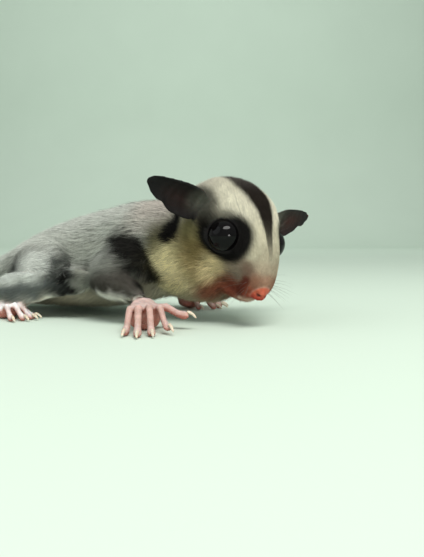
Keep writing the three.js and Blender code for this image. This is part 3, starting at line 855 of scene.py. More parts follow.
up = spread(outward, net, 30)[:, 2]
height = outer[:, 2]
from_spine = np.abs(outer[:, 1] - np.interp(outer[:, 0], *MIDLINE))
mirrored = outer.copy()
mirrored[:, 1] = MIDDLE_Y - np.abs(outer[:, 1] - MIDDLE_Y)
ragged = mirrored + 0.8 * np.stack([wander(mirrored, 0.30, seed) for seed in (3, 4, 5)], axis=1)
ragged += 0.35 * wander(mirrored, 0.9, 6)[:, None]
elbow_fringe = np.maximum(
    capsule(ragged, (39.5, -24.8, 6.0), (45.5, -26.6, 5.2), 2.1, 0.6),
    capsule(ragged, (45.5, -26.6, 5.4), (48.5, -27.5, 4.6), 1.4, 0.6),
)
shoulder = np.maximum(
    capsule(ragged, (42.6, -20.8, 20.0), (47.0, -21.5, 15.5), 3.7, 0.5),
    capsule(ragged, (47.4, -21.2, 15.0), (50.4, -21.5, 10.4), 3.0, 0.55),
)
# The pale streak on the thigh is partly paler fur and partly a painted highlight along the thigh's upper edge.
pale_thigh_highlight = capsule(ragged, (21.0, -24.6, 14.2), (12.0, -25.5, 13.0), 4.4, 0.7)
dark_edge = capsule(ragged, (27.5, -25.0, 9.0), (8.0, -26.5, 6.0), 2.3, 0.7)
dark_knee = capsule(ragged, (26.9, -23.8, 14.2), (28.6, -24.5, 7.0), 3.4, 0.7)
knee_front = capsule(ragged, (28.2, -24.3, 10.5), (29.8, -24.6, 4.6), 2.1, 0.7)
face_rear = capsule(mirrored, (45.5, -20.4, 18.0), (50.0, -19.5, 10.5), 2.8, 0.45)
nape = ease(40, 47, outer[:, 0]) * ease(0.0, 0.7, up)
spine_mark = ease(3.0, 1.2, from_spine) * ease(0.5, 0.9, up) * ease(-8, 6, outer[:, 0])
membrane, leg = amount_of("membrane"), amount_of("thigh", "shank", "trunk", "membrane")
forearm, upper_arm = (spread(amount_of(name), net, 30) for name in ("forearm", "upper_arm"))

coat = layered(np.tile(np.array(FLANK_GREY), (len(outer), 1)), [
    (BACK_GREY, ease(0.15, 0.85, up)),
    (BELLY_CREAM, ease(-0.25, -0.75, up)),
    ((0.46, 0.41, 0.36), 0.8 * nape),
    (DARK, 0.78 * spine_mark),
    ((0.08, 0.075, 0.065), 0.6 * blob(mirrored, (42, -22, 8), (8, 8, 6), 0.5)),  # elbow
    ((0.20, 0.205, 0.18), 0.6 * upper_arm * ease(22, 17, height)),
    ((0.058, 0.053, 0.043), 0.9 * forearm * ease(-0.7, -0.2, up)),
    # paler fur with a painted highlight on the thigh
    ((0.84, 0.88, 0.82), 0.8 * pale_thigh_highlight * leg),
    ((0.20, 0.205, 0.17), 0.9 * membrane * ease(29, 32, outer[:, 0])),
    ((0.14, 0.155, 0.155), 0.85 * dark_edge * ease(0.4, -0.1, up) * leg),
    (SNOW, 0.85 * membrane * ease(-0.35, -0.75, up)),
    ((0.030, 0.034, 0.032), 0.95 * dark_knee * leg),
    (BLACK, 0.95 * knee_front * leg),
    ((0.95, 0.93, 0.84), 0.95 * elbow_fringe),
    (BLACK, 0.98 * shoulder),
    ((0.42, 0.35, 0.30), amount_of("forearm", "shank") * ease(0.95, 1.1, limb_share)),  # wrist and ankle
])
print("body painted, mean tone", coat.mean(axis=0).round(3))

# %% [markdown]
# The tail darkens towards its tip. The face's own colours take over in front of the nape.

# %% Tail and face
tail = amount_of("tail_1", "tail_2", "tail_3")
tail_tone = layered(np.tile(np.array((0.34, 0.345, 0.31)), (len(outer), 1)), [
    ((0.10, 0.098, 0.088), ease(0.25, 0.62, limb_share)),
    ((0.026, 0.024, 0.021), ease(0.62, 0.86, limb_share)),
])
coat = coat * (1 - tail[:, None]) + tail_tone * tail[:, None]
on_face = amount_of("head", "jaw", "nose", "ear") + amount_of("neck") * ease(-31, -25, local[:, 0])
on_face = spread(np.clip(on_face, 0, 1), net, 20)
coat = coat * (1 - on_face[:, None]) + face_colours(local) * on_face[:, None]
coat = paint(coat, BLACK, 0.95 * face_rear * amount_of("neck", "trunk"))
print("points on the face:", int((on_face > 0.5).sum()), "and on the tail:", int((tail > 0.5).sum()))

# %% [markdown]
# The bare parts are pink with redder palms, and the ears almost black. The lids, with painted shade in the crease of
# the mouth and under each eyeball, are painted last.

# %% Bare parts
ear = amount_of("ear")
feet = amount_of("hand", "foot")
pad = blob(local, (-0.2, 0, -1.0), (2.1, 2.6, 2.3), 0.18)
bare = np.clip(np.maximum(feet + ease(0.35, 0.75, ear), pad), 0, 1)
# where the nostrils open, for their painted shade
nostrils = sum(blob(local, (0.45, sign * 1.25, -0.85), (0.75, 0.62, 0.36), 0.5) for sign in (-1, 1))
bare_tone = layered(np.tile(np.array(SKIN_PINK), (len(outer), 1)), [
    (PALM_RED, feet * ease(0.45, -0.45, outward[:, 2])),
    ((0.54, 0.415, 0.385), 0.7 * amount_of("hand") * ease(0.55, 0.95, outward[:, 2])),  # back of the hand
    ((0.78, 0.75, 0.75), 0.9 * amount_of("foot") * ease(-0.2, 0.6, up)),  # top of the foot
    (NOSE_PINK, pad),
    (NOSE_RED, pad * ease(-0.3, -1.9, local[:, 2])),
    # painted shade: the nostrils are drawn dark, as the shade inside their openings
    ((0.045, 0.010, 0.008), 0.85 * np.clip(nostrils, 0, 1) * pad),
    (EAR_DARK, ease(0.02, 0.2, ear)),
])
ear_foot = ear * ease(0.42, 0.16, limb_share)
for side, (on, share, over, in_front) in EAR_AXES.items():
    ear_foot[on] *= ease(-0.9, 0.3, over)
    # painted light on the left ear
    light = LEFT_EAR_PAINTED_LIGHT if side == "left" else 1.0
    warm = in_front * (1 - np.abs(over)).clip(0) * ease(0.85, 0.45, share) * ease(0.05, 0.3, share)
    bare_tone[on] = layered(bare_tone[on] * light, [
        (light * np.array((0.014, 0.0045, 0.0035)), 0.8 * warm),
        # painted highlight along the rolled upper rim of the ear
        ((0.022, 0.022, 0.023), 0.7 * ease(0.80, 0.97, over)),  # pale upper edge
    ])
bare_tone = paint(bare_tone, EAR_FUR, 0.9 * ear_foot)
skin_tone = layered(coat * 0.9 * (1 - bare[:, None]) + bare_tone * bare[:, None], [
    # painted shade: the crease of the mouth is drawn dark red, and the skin under each eyeball black, as shade in the
    # crease and round the ball; the lids themselves are black skin
    ((0.10, 0.022, 0.013), 0.8 * spread(crease, net, 1)),
    (LID_BLACK, np.maximum(lid_line * ease(0.2, 0.8, lid_line), socket)),
])
print("mean coat tone", coat.mean(axis=0).round(3), "mean bare tone", bare_tone.mean(axis=0).round(3))

# %% [markdown]
# ## Skin finish
# Under short hair the skin looks soft and matt. Where it is bare it is moist and fine-grained. One material does both:
# the colours come from the points, a share called bare sets the gloss, and two noises give pores and blotches.

# %% Skin finish
GRAIN = {"scale": 3800, "detail": 3, "roughness": 0.6}
GRAIN_DEPTH = 0.00012


def give_colours(mesh, name, colours):
    layer = mesh.attributes.new(name, "FLOAT_COLOR", "POINT")
    layer.data.foreach_set("color", np.hstack([colours, np.ones((len(colours), 1))]).ravel())


def give_values(mesh, name, values):
    layer = mesh.attributes.new(name, "FLOAT", "POINT")
    layer.data.foreach_set("value", values)


class Finish:
    """A material whose nodes are added one by one and linked to its shader."""

    def __init__(self, name, **constants):
        self.material = bpy.data.materials.new(name)
        self.material.use_nodes = True
        self.tree = self.material.node_tree
        self.shader = self.tree.nodes["Principled BSDF"]
        for socket_name, value in constants.items():
            self.shader.inputs[socket_name.replace("_", " ")].default_value = value

    def node(self, kind, settings=None, **sockets):
        made = self.tree.nodes.new(kind)
        for key, value in (settings or {}).items():
            setattr(made, key, value)
        for key, value in sockets.items():
            self.feed(made.inputs[key.replace("_", " ")], value)
        return made

    def feed(self, socket, value):
        """Links a socket to a value that comes from a node, or sets it to a constant."""
        if isinstance(value, bpy.types.NodeSocket):
            self.tree.links.new(value, socket)
        else:
            socket.default_value = value

    def attribute(self, name, output="Color"):
        return self.node("ShaderNodeAttribute", {"attribute_name": name}).outputs[output]

    def noise(self, scale, detail=2.0, roughness=0.5):
        place = self.node("ShaderNodeTexCoord").outputs["Object"]
        sockets = {"Vector": place, "Scale": scale, "Detail": detail, "Roughness": roughness}
        return self.node("ShaderNodeTexNoise", **sockets).outputs[0]

    def ramp(self, value, low, high, start=0.0, end=1.0):
        made = self.node("ShaderNodeMapRange")
        items = {"Value": value, "From Min": start, "From Max": end, "To Min": low, "To Max": high}
        for key, item in items.items():
            self.feed(made.inputs[key], item)
        return made.outputs["Result"]

    def mottled(self, colour, noise, low, high, start=0.0, end=1.0):
        """The base colour times a noise. Inputs 6 and 7 and output 2 are the mix node's colours."""
        made = self.node("ShaderNodeMix", {"data_type": "RGBA", "blend_type": "MULTIPLY"})
        self.feed(made.inputs["Factor"], 1.0)
        self.feed(made.inputs[6], colour)
        self.feed(made.inputs[7], self.ramp(self.noise(*noise), low, high, start, end))
        self.set("Base Color", made.outputs[2])

    def bump(self, height, distance, strength=1.0):
        made = self.node("ShaderNodeBump", Height=height, Distance=distance, Strength=strength)
        self.feed(self.shader.inputs["Normal"], made.outputs["Normal"])

    def set(self, socket_name, value):
        self.feed(self.shader.inputs[socket_name], value)

    def put_on(self, mesh):
        mesh.materials.clear()
        mesh.materials.append(self.material)


skin_finish = Finish("skin", Subsurface_Weight=0.12, Subsurface_Scale=0.0006, Specular_IOR_Level=0.15)
skin_finish.mottled(skin_finish.attribute("tone"), (900, 3), 0.80, 1.22, 0.25, 0.75)
skin_finish.set("Roughness", skin_finish.ramp(skin_finish.attribute("gloss", "Fac"), 0.80, 0.30))
skin_finish.bump(skin_finish.noise(**GRAIN), GRAIN_DEPTH, 0.7)
print("finish:", skin_finish.material.name)

# %% [markdown]
# The skin keeps its fine net where it shows, on the face, ears, hands and feet. Under the coat fewer faces are enough.

# %% Skin piece
SKIN_KEPT = 0.40  # share of the faces kept where the coat hides the skin
GLOSS = {"bare": 0.42, "nose": 0.475, "lid": 0.3}
HIDDEN_LEVELS = 4  # steps from bare to hidden

put_points(skin.data, inner)
give_colours(skin.data, "tone", skin_tone)
gloss = bare * GLOSS["bare"] + pad * GLOSS["nose"] + lid_line * GLOSS["lid"]
give_values(skin.data, "gloss", np.clip(gloss, 0, 1))
skin.data.polygons.foreach_set("use_smooth", np.ones(len(skin.data.polygons), bool))

full_net = skin.data.copy()
full_net.name = "full_net"
hidden = skin.vertex_groups.new(name="under_coat")
shares = np.clip(ease(0.5, 1.2, depth) - 0.9 * feet, 0, 1)
for level in range(1, HIDDEN_LEVELS + 1):
    inside = np.nonzero(np.round(shares * HIDDEN_LEVELS) == level)[0]
    hidden.add(inside.tolist(), level / HIDDEN_LEVELS, "REPLACE")
thin = skin.modifiers.new("thin_under_coat", "DECIMATE")
thin.ratio = SKIN_KEPT
thin.vertex_group = hidden.name
thin.vertex_group_factor = 4.0
applied(skin)
skin_finish.put_on(skin.data)
skin.vertex_groups.clear()
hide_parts(*FLESH)
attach(skin, "root")
print("skin piece:", sum(len(p.vertices) - 2 for p in skin.data.polygons), "triangles")

# %% [markdown]
# ## Eyes
# The eyes are wet and look black. Each is a fine ball in the place of its solid, with a clear gloss over a colour
# that is almost black and a little uneven.

# %% Eyes
EYE_BLACK = (0.0020, 0.0017, 0.0019, 1)
WET = {"Coat_Weight": 1.0, "Coat_Roughness": 0.02, "Coat_IOR": 1.23}

eye_finish = Finish("wet_eye", Roughness=0.20, Specular_IOR_Level=0.0, **WET)
eye_finish.mottled(EYE_BLACK, (350, 2), 0.6, 1.5, 0.3, 0.7)
for side in SIDES:
    bm = bmesh.new()
    place = Matrix.Translation(Vector(from_head(eye_centre[side]) * MM))
    bmesh.ops.create_icosphere(bm, subdivisions=6, radius=EYE["radius"] * MM, matrix=place)
    ball = rounded(f"eyeball_{side}", bm)
    eye_finish.put_on(ball.data)
    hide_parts(f"eye_{side}")
    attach(ball, "root")
    print(ball.name, len(ball.data.polygons), "faces")

# %% [markdown]
# ## Claws
# The claws are small curved hooks of pale, faintly streaked horn. The solids have the right hook already, so copies
# of them are merged, rounded by a subdivision surface, and joined into one piece for each hand and foot.

# %% Claws
CLAW_REACH = 1.3  # scaled about the tip, so that the root sits well inside the toe
CLAW_ROUNDING = 2
HORN = (0.62, 0.54, 0.42, 1)

claw_finish = Finish("horn", Roughness=0.38, Subsurface_Weight=0.2, Subsurface_Scale=0.0003)
claw_finish.mottled(HORN, (2600, 2), 0.78, 1.15, 0.3, 0.7)
for limb in ("hand", "foot"):
    for side in SIDES:
        own = sorted(name for name in nodes if name.startswith(f"claw_{limb}_{side}"))
        wrist_spot = Vector(WRISTS[2 * (limb == "foot") + (side == "left")]) * MM
        bm = bmesh.new()
        for name in own:
            known = set(bm.verts)
            bm.from_mesh(nodes[name].data)
            hook = [vert for vert in bm.verts if vert not in known]
            tip = max(hook, key=lambda vert: (vert.co - wrist_spot).length).co.copy()
            bmesh.ops.scale(bm, verts=hook, vec=(CLAW_REACH,) * 3, space=Matrix.Translation(-tip))
        bmesh.ops.remove_doubles(bm, verts=bm.verts, dist=WELD * MM)
        bmesh.ops.recalc_face_normals(bm, faces=bm.faces)
        claws = rounded(f"claws_{limb}_{side}", bm)
        rounder = claws.modifiers.new("rounder", "SUBSURF")
        rounder.levels = rounder.render_levels = CLAW_ROUNDING
        applied(claws)
        claw_finish.put_on(claws.data)
        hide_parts(*own)
        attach(claws, "root")
        print(claws.name, "from", len(own), "claws")

# %% [markdown]
# ## Whiskers
# Long dark whiskers fan out from the pads beside the nose. Each is a curve with a round bevel whose radius falls to
# nothing at the tip, made a mesh when all are set. A few stand over the eye.

# %% Whiskers
WHISKER_ROOTS = 12
IN_A_ROW = 5
BROW_WHISKERS = 3
WHISKER_RADIUS = 0.032
WHISKER_TAPER = 0.88
WHISKER_POINTS = 9
ROOT_DEPTH = 0.25
WHISKER_BROWN = (0.07, 0.06, 0.05, 1)

rng = np.random.default_rng(11)
whisker_finish = Finish("whisker", Roughness=0.45)
whisker_finish.mottled(WHISKER_BROWN, (500, 1), 0.7, 1.6)

skin_tree = BVHTree.FromPolygons([Vector(p) for p in inner], [p.vertices[:] for p in full_net.polygons])
fan = bpy.data.curves.new("whiskers", "CURVE")
fan.dimensions = "3D"
fan.bevel_depth = MM
fan.bevel_resolution = 1
fan.use_fill_caps = True


def add_whisker(root, way, length, sag):
    spot, normal, _, _ = skin_tree.find_nearest(Vector(from_head(root)))
    way = unit(head_axes @ np.array(way))
    spline = fan.splines.new("POLY")
    spline.points.add(WHISKER_POINTS - 1)
    for point, t in zip(spline.points, np.linspace(0, 1, WHISKER_POINTS)):
        place = np.array(spot) - ROOT_DEPTH * np.array(normal) + way * length * t
        place[2] -= sag * t * t
        point.co = (*(place * MM), 1)
        point.radius = WHISKER_RADIUS * (1 - WHISKER_TAPER * t)


for side, sign in SIDES.items():
    for k in range(WHISKER_ROOTS):
        row, place = divmod(k, IN_A_ROW)
        root = (-1.6 - 0.75 * place + 0.2 * row, sign * (3.6 + 0.35 * place), 0.6 - 0.95 * row)
        way = (0.75 - 0.32 * place + rng.normal(0, 0.06), sign * (0.85 + 0.06 * place), 0.12 - 0.22 * row)
        add_whisker(root, way, 5.0 + 1.3 * place + rng.uniform(-1, 1), 0.5 + 0.4 * place)
    for k in range(BROW_WHISKERS):
        add_whisker((-8.5 - k, sign * 5.5, 11.5), (0.35 - 0.5 * k, sign * 0.6, 0.9), 4.0 + k, 0.3)

curves = placed("whiskers", fan)
ready = bpy.data.meshes.new_from_object(curves)
bpy.data.objects.remove(curves)
whiskers = placed("whiskers", ready)
whisker_finish.put_on(ready)
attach(whiskers, "root")
print("whiskers:", len(ready.polygons), "faces")

# %% [markdown]
# ## Coat
# Real fur is far too fine to model hair by hair, so each piece here is a small tuft: a thin closed spike, or on the
# body and tail a spike with one bend. Each is rooted on the skin, follows the lie of the hair, and has its tip near
# the outer form, which is where the solids end. They are laid out with arrays and joined into a few meshes.

# %% Where tufts grow
full_net.calc_loop_triangles()
triangles = read(full_net.loop_triangles, "vertices", 3, np.int32)
corners = inner[triangles]
areas = np.linalg.norm(np.cross(corners[:, 1] - corners[:, 0], corners[:, 2] - corners[:, 0]), axis=1) / 2

tuft_length, tuft_density, tuft_width = (belongs @ coat_table)[:, 1:4].T.copy()
x, _, z = local.T
head_share = amount_of("head", "jaw")
eye_reach = np.min([np.linalg.norm(local - eye_centre[side], axis=1) for side in SIDES], axis=0)
near_eye = ease(6.4, 4.6, eye_reach) * head_share
front = ease(-11, -2, x) * head_share
low = ease(2, -5, z) * ease(-8, -14, x) * head_share
underside = ease(-0.55, -0.9, outward[:, 2])

tuft_length *= (1 - 0.58 * near_eye) * (1 - 0.66 * front) * (1 + 0.35 * low)
tuft_length *= 1 + 2.6 * ear_foot
tuft_length *= 1 + 0.6 * elbow_fringe
tuft_width *= (1 - 0.35 * near_eye) * (1 - 0.35 * front)
tuft_density *= (1 + 0.9 * near_eye) * (1 + 0.7 * front)
tuft_density *= np.where(feet + ear > 0.5, 1.0, ease(0.9, 0.3, bare))
tuft_density *= 1 - socket
tuft_density *= ease(0.62, 0.40, np.maximum(crease, lid_line))
tuft_density *= 1 + 3.0 * ear_foot
tuft_density *= 1 - 0.45 * underside
print("lengths on the head", np.percentile(tuft_length[part == 0], (5, 50, 95)).round(2), "mm")

# %% [markdown]
# ## Unwrap for baking
# When the colours are baked, a tuft needs only one small patch of the picture, where its root is. Head, trunk, tail
# and limbs are each unrolled about their own line, angle one way and length the other.


# %% Unwrap for baking
END_ROOM = 12  # mm past each end of a line
INSET, FILLED = 0.02, 0.96  # margin of a chart, and the share of it that is used


def unrolled(points, line, chart_start, chart_width):
    """Places on a chart: the angle about the line, and the length along it."""
    heading, share = along(points, line)
    line = np.array(line, float)
    steps = np.linalg.norm(np.diff(line, axis=0), axis=1)
    stops = np.concatenate([[0], np.cumsum(steps)]) / steps.sum()
    centre = np.stack([np.interp(share, stops, line[:, k]) for k in range(3)], axis=1)
    beside = unit(np.cross(heading, (0.05, 0.1, 1.0)))
    above = np.cross(beside, heading)
    out = points - centre
    turn = np.arctan2((out * beside).sum(axis=1), (out * above).sum(axis=1)) / (2 * math.pi) + 0.5
    over = ((points - line[0]) * heading).sum(axis=1)
    ends = np.where(share <= 0, np.clip(over, -END_ROOM, 0), 0)
    past = ((points - line[-1]) * heading).sum(axis=1)
    ends = np.where(share >= 1, np.clip(past, 0, END_ROOM), ends)
    length = (share * steps.sum() + ends + END_ROOM) / (steps.sum() + 2 * END_ROOM)
    return np.stack([chart_start + chart_width * (INSET + FILLED * turn), INSET + FILLED * length], axis=1)


HEAD_LINE = [tuple(from_head((-1.0, 0, 0))), tuple(from_head((-26.0, 0, 3)))]
CHARTS = {"head": HEAD_LINE, "jaw": HEAD_LINE, "nose": HEAD_LINE, "neck": SPINE, "trunk": SPINE,
          "tail_1": TAIL, "tail_2": TAIL, "tail_3": TAIL}


def chart_of(points, parts_here):
    """Places on the unwrap, each part of a limb in its own column."""
    places = np.zeros((len(points), 2))
    left = side_of(points)
    names = [PARTS[k] for k in np.unique(parts_here)]
    columns = [name for name in names if name not in CHARTS]
    for name in names:
        on = parts_here == PARTS.index(name)
        if name in CHARTS:
            places[on] = unrolled(points[on], CHARTS[name], 0.0, 1.0)
            continue
        width = 1 / (2 * len(columns))
        for half, side in enumerate(("right", "left")):
            chosen = on & (left == (side == "left"))
            column = (2 * columns.index(name) + half) * width
            if name in LIMB_PARTS:
                limb, k = LIMB_PARTS[name]
                line = LIMBS[side][limb][k:k + 2]
            elif name == "ear":
                line = [tuple(EAR_ROOT[side]), tuple(EAR_TIP[side])]
            else:
                line = [LIMBS[side]["leg"][1], LIMBS[side]["arm"][1]]
            places[chosen] = unrolled(points[chosen], line, column, width)
    return places


# %% [markdown]
# ## Tufts
# The same few steps serve every coat piece: pick roots so that each square millimetre gets its share, choose a way
# and a length with a little chance in them, and lay the middle and the tip over the skin. First come the two forms.

# %% Tufts
PATCH = 0.003  # size of a tuft's patch on the unwrap
MOST = 195000  # triangles in one piece
ROOT_UNDER = 0.06  # mm that the base lies under the skin
LEAST_ROOM = 0.10
CLUMPS = [(0.26, 0.16), (0.13, 0.5)]  # how far locks lean together, and how many waves of that to a millimetre
RISE, RISE_VARIES = 0.88, 0.20  # height of the tip, as a share of the coat's depth
KNEE_HEIGHT = 0.66
RIDGE_HEIGHT = 0.55  # of a tuft, as a share of its width
TONE_VARIES = 0.17
FACING_VARIES = 0.22
# Tones along a tuft, root to tip: the root is darker for the darker underfur and for painted shade among the tufts,
# the tip paler.
SPIKE = {
    "lean": 0.14,
    "faces": np.array([(0, 2, 1), (0, 1, 3), (1, 2, 3), (2, 0, 3)]),
    "underfur_and_shade": np.array((0.72, 0.72, 0.76, 1.10)),
    "patch": np.array([(-1, -0.3), (-1, 0.3), (-1, 0), (1, 0)]),
}
BENT = {
    "lean": 0.22,
    "faces": np.array([
        (0, 2, 1), (0, 1, 4), (0, 4, 3), (1, 2, 5), (1, 5, 4),
        (2, 0, 3), (2, 3, 5), (3, 4, 6), (4, 5, 6), (5, 3, 6),
    ]),
    "underfur_and_shade": np.array((0.62, 0.62, 0.66, 0.93, 0.93, 0.97, 1.13)),
    "patch": np.array([(-1, -0.3), (-1, 0.3), (-1, 0), (0, -0.3), (0, 0.3), (0, 0), (1, 0)]),
}
print("a spike has", len(SPIKE["faces"]), "triangles, and a bent one", len(BENT["faces"]))

# %% [markdown]
# ## Growing a piece
# Every tuft of a piece is worked out at once, in lists with one row for each. A tuft takes its colour from the skin
# under its middle, so a mark's edge is drawn by whole tufts. Its root is darker than its tip, for the darker underfur
# and for painted shade among the tufts.

# %% Growing a piece
full_faces = np.array([face.vertices[0] for face in full_net.polygons])
coat_here = np.where(ear[:, None] > 0.5, np.array(EAR_DARK) * 1.4, coat)
coat_here = paint(coat_here, EAR_FUR, ear_foot)
coat_here = np.where(feet[:, None] > 0.5, np.array(SNOW), coat_here)


def over_skin(points, height_share, room):
    """The points moved to a share of the coat's height over the skin below them."""
    moved = np.empty_like(points)
    normals = np.empty_like(points)
    under = np.empty(len(points), int)
    for k, point in enumerate(points.tolist()):
        moved[k], normals[k], under[k], _ = skin_tree.find_nearest(point)
    return moved + normals * (height_share * room)[:, None], normals, under


def roots_on(part_names, chance):
    """The triangle each root stands on, and its weights there. A triangle gets roots by area and density."""
    wanted = np.isin(part[triangles], [PARTS.index(name) for name in part_names]).sum(axis=1) >= 2
    chosen = np.nonzero(wanted)[0]
    share = areas[chosen] * tuft_density[triangles[chosen]].mean(axis=1)
    steps = np.floor(np.concatenate([[0], np.cumsum(share)]) + chance.random())
    faces = np.repeat(chosen, np.diff(steps).astype(int))
    a, b = chance.random((2, len(faces), 1))
    over = a + b > 1
    a, b = np.where(over, 1 - a, a), np.where(over, 1 - b, b)
    return faces, np.stack([1 - a - b, a, b], axis=1)[:, :, 0]


def rings_of(base, knee, knee_normal, tip, half, ridge, width):
    """The corners of each spike from its base to its tip. A bent one has three more at its knee."""
    if knee is None:
        return [base - half, base + half, base + ridge, tip]
    return [
        base - half * 0.8, base + half * 0.8, base + ridge * 0.8,
        knee - half, knee + half, knee + knee_normal * (width * RIDGE_HEIGHT)[:, None], tip,
    ]


def grow(name, part_names, form, slot, seed):
    chance = np.random.default_rng(seed)
    faces, weights = roots_on(part_names, chance)

    def at_root(values):
        return np.einsum("ij,ij...->i...", weights, values[triangles[faces]])

    root = at_root(inner)
    normal = unit(at_root(outward))
    way = at_root(lie)
    room = np.maximum(at_root(depth), LEAST_ROOM)
    length = at_root(tuft_length) * chance.uniform(0.72, 1.18, len(faces))
    width = at_root(tuft_width) * chance.uniform(0.8, 1.2, len(faces))
    lean = sum(amount * wander(root, scale, seed + 1 + k) for k, (amount, scale) in enumerate(CLUMPS))
    lean += chance.normal(0, form["lean"], len(faces))
    way = unit(way + np.cross(normal, way) * lean[:, None])
    rise = np.clip(chance.normal(RISE, RISE_VARIES, len(faces)), 0.45, 1.3)

    knee, knee_normal, under = over_skin(root + way * (0.5 * length)[:, None], KNEE_HEIGHT * rise, room)
    tip, _, _ = over_skin(root + way * length[:, None], rise, room)
    half = unit(np.cross(normal, way)) * (width / 2)[:, None]
    ridge = normal * (width * RIDGE_HEIGHT)[:, None]
    base = root - normal * ROOT_UNDER
    rings = rings_of(base, knee if form is BENT else None, knee_normal, tip, half, ridge, width)
    points = np.stack(rings, axis=1)

    vary = chance.normal(1.0, TONE_VARIES, len(faces)) * (1 + 0.10 * wander(root, 0.35, seed + 3))
    # the root's painted shade and darker underfur, times the tuft's own tone
    underfur_and_shade = form["underfur_and_shade"][None, :] * np.clip(vary, 0.55, 1.5)[:, None]
    colours = coat_here[full_faces[under]][:, None, :] * underfur_and_shade[:, :, None]
    facing = unit(normal + FACING_VARIES * chance.normal(size=normal.shape))
    soft = np.repeat(facing[:, None, :], len(rings), axis=1)
    soft[:, -1] = unit(normal + 0.35 * way)
    places = chart_of(root, part[triangles[faces, 0]])[:, None, :] + form["patch"][None, :, :] * PATCH / 2

    total = len(faces) * len(form["faces"])
    pieces = max(1, math.ceil(total / MOST))
    order = np.argsort(root[:, 0], kind="stable")
    for k, group in enumerate(np.array_split(order, pieces)):
        label = name if pieces == 1 else f"{name}_{k + 1}"
        build(label, points[group], form["faces"], colours[group], soft[group], places[group])
    print(f"{name}: {len(faces)} tufts, {total} triangles in {pieces} pieces")
    return total


# %% [markdown]
# ## Coat meshes
# Joining the spikes one by one would take hours. The lists of corners and faces are handed to Blender whole. Each
# corner keeps its colour and the way it faces, which is mostly the skin's way, so that the coat is lit as one surface.


# %% Coat meshes
def build(name, points, shape, colours, soft, places):
    tufts, count = points.shape[:2]
    faces = (shape[None, :, :] + (np.arange(tufts) * count)[:, None, None]).reshape(-1, 3)
    mesh = bpy.data.meshes.new(name)
    mesh.vertices.add(tufts * count)
    mesh.vertices.foreach_set("co", (points * MM).ravel())
    mesh.loops.add(faces.size)
    mesh.loops.foreach_set("vertex_index", faces.ravel().astype(np.int32))
    mesh.polygons.add(len(faces))
    mesh.polygons.foreach_set("loop_start", np.arange(0, faces.size, 3, dtype=np.int32))
    mesh.polygons.foreach_set("use_smooth", np.ones(len(faces), bool))
    mesh.update(calc_edges=True)
    unwrap = mesh.uv_layers.new(name="OFBake")
    unwrap.data.foreach_set("uv", np.clip(places.reshape(-1, 2)[faces.ravel()], 0, 1).ravel())
    give_colours(mesh, "tone", colours.reshape(-1, 3))
    normals = mesh.attributes.new("custom_normal", "FLOAT_VECTOR", "POINT")
    normals.data.foreach_set("vector", soft.reshape(-1, 3).ravel())
    coat_finish.put_on(mesh)
    made = placed(name, mesh)
    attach(made, "root")


COAT_PIECES = [  # name, parts it grows on, form of a tuft, slot, seed
    ("coat_head", ["head", "jaw", "nose"], SPIKE, "cream_fur", 21),
    ("coat_neck", ["neck"], BENT, "grey_fur", 31),
    ("coat_trunk", ["trunk"], BENT, "grey_fur", 41),
    ("coat_tail", ["tail_1", "tail_2", "tail_3"], BENT, "grey_fur", 51),
    ("coat_limbs", ["upper_arm", "forearm", "thigh", "shank", "membrane"], SPIKE, "dark_fur", 61),
    ("hairs_bare_parts", ["hand", "foot", "ear"], SPIKE, "cream_fur", 71),
]
coat_finish = Finish("fur", Roughness=0.66, Specular_IOR_Level=0.05)
coat_finish.mottled(coat_finish.attribute("tone"), (1100, 2), 0.90, 1.12, 0.3, 0.7)
print("coat:", sum(grow(*piece) for piece in COAT_PIECES), "triangles in all")

# %% [markdown]
# ## Floor
# A plain pale floor runs back and curves up into a wall, as in a photo studio, so there is no line behind the
# animal. One edge is drawn along the profile, step by step. All its sizes are in metres.

# %% Floor
PALE_GREEN = (0.58, 0.68, 0.59, 1)
floor_finish = Finish("paper", Roughness=0.9, Specular_IOR_Level=0.2)
floor_finish.mottled(PALE_GREEN, (6, 2), 0.97, 1.03)
FLOOR_FRONT, FLOOR_BACK, WALL_TOP, FLOOR_HALF = -3.0, 1.3, 1.9, 3.5
BEND = 0.5  # radius of the curve between floor and wall
BEND_STEPS = 10

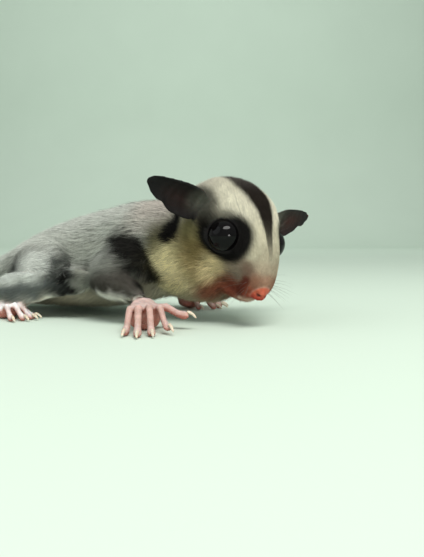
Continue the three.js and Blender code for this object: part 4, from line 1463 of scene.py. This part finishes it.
profile = [(FLOOR_BACK, 0.0)]
for angle in np.linspace(0.15, math.pi / 2, BEND_STEPS):
    profile.append((FLOOR_BACK + BEND * math.sin(angle), BEND - BEND * math.cos(angle)))
profile.append((FLOOR_BACK + BEND, WALL_TOP))
bm = bmesh.new()
front = [bm.edges.new([bm.verts.new((x, FLOOR_FRONT, 0)) for x in (-FLOOR_HALF, FLOOR_HALF)])]
here = (FLOOR_FRONT, 0.0)
for there in profile:
    extruded = bmesh.ops.extrude_edge_only(bm, edges=front)["geom"]
    moved = [item for item in extruded if isinstance(item, bmesh.types.BMVert)]
    bmesh.ops.translate(bm, verts=moved, vec=(0, there[0] - here[0], there[1] - here[1]))
    front = [item for item in extruded if isinstance(item, bmesh.types.BMEdge)]
    here = there
bmesh.ops.transform(bm, matrix=Matrix.Rotation(AZIMUTH, 4, "Z"), verts=bm.verts)
bmesh.ops.recalc_face_normals(bm, faces=bm.faces)
floor = rounded("floor", bm)
floor_finish.put_on(floor.data)
print("floor and wall:", len(floor.data.polygons), "faces")

# %% [markdown]
# ## Light
# The light of the picture is soft and comes from high in front, where the eye shows it as one bright spot. Each lamp
# is placed as the camera sees it: so far right, so far up, so far back. One more lamp brightens the wall.

# %% Light
AIM = Vector((0.02, -0.01, 0.01))
WALL_SPOT = Vector((-math.sin(AZIMUTH), math.cos(AZIMUTH), 0)) * 1.75 + Vector((0, 0, 0.45))
LAMPS = {  # direction from the aim, distance, width and height in metres, power, colour, aim
    "window": ((0.24, 0.74, 0.60), 0.62, (0.46, 0.23), 3.5, (1.0, 0.985, 0.95), AIM),
    "fill": ((0.52, 0.0, 0.85), 0.60, (0.13, 0.10), 0.6, (1.0, 0.98, 0.95), AIM),
    "soft_side": ((-0.80, 0.55, 0.45), 1.0, (0.9, 0.9), 1.6, (0.93, 0.97, 1.0), AIM),
    "on_the_wall": ((0, 0.45, 1.0), 1.2, (1.6, 0.5), 6.0, (0.97, 1.0, 0.97), WALL_SPOT),
}
DAYLIGHT = (0.95, 1.0, 0.96, 1)
DAYLIGHT_STRENGTH = 0.56

for name, (toward, distance, sizes, power, colour, aim) in LAMPS.items():
    lamp = bpy.data.lights.new(name, "AREA")
    lamp.shape = "ELLIPSE"
    lamp.size, lamp.size_y = sizes
    lamp.energy = power
    lamp.color = colour
    way = (view_right * toward[0] + view_up * toward[1] + view_back * toward[2]).normalized()
    hung = placed(name, lamp)
    hung.location = aim + way * distance
    hung.rotation_euler = (-way).to_track_quat("-Z", "Y").to_euler()

scene.world = bpy.data.worlds.new("studio")
scene.world.use_nodes = True
sky = scene.world.node_tree.nodes["Background"]
sky.inputs["Color"].default_value = DAYLIGHT
sky.inputs["Strength"].default_value = DAYLIGHT_STRENGTH
scene.view_settings.view_transform = "Standard"
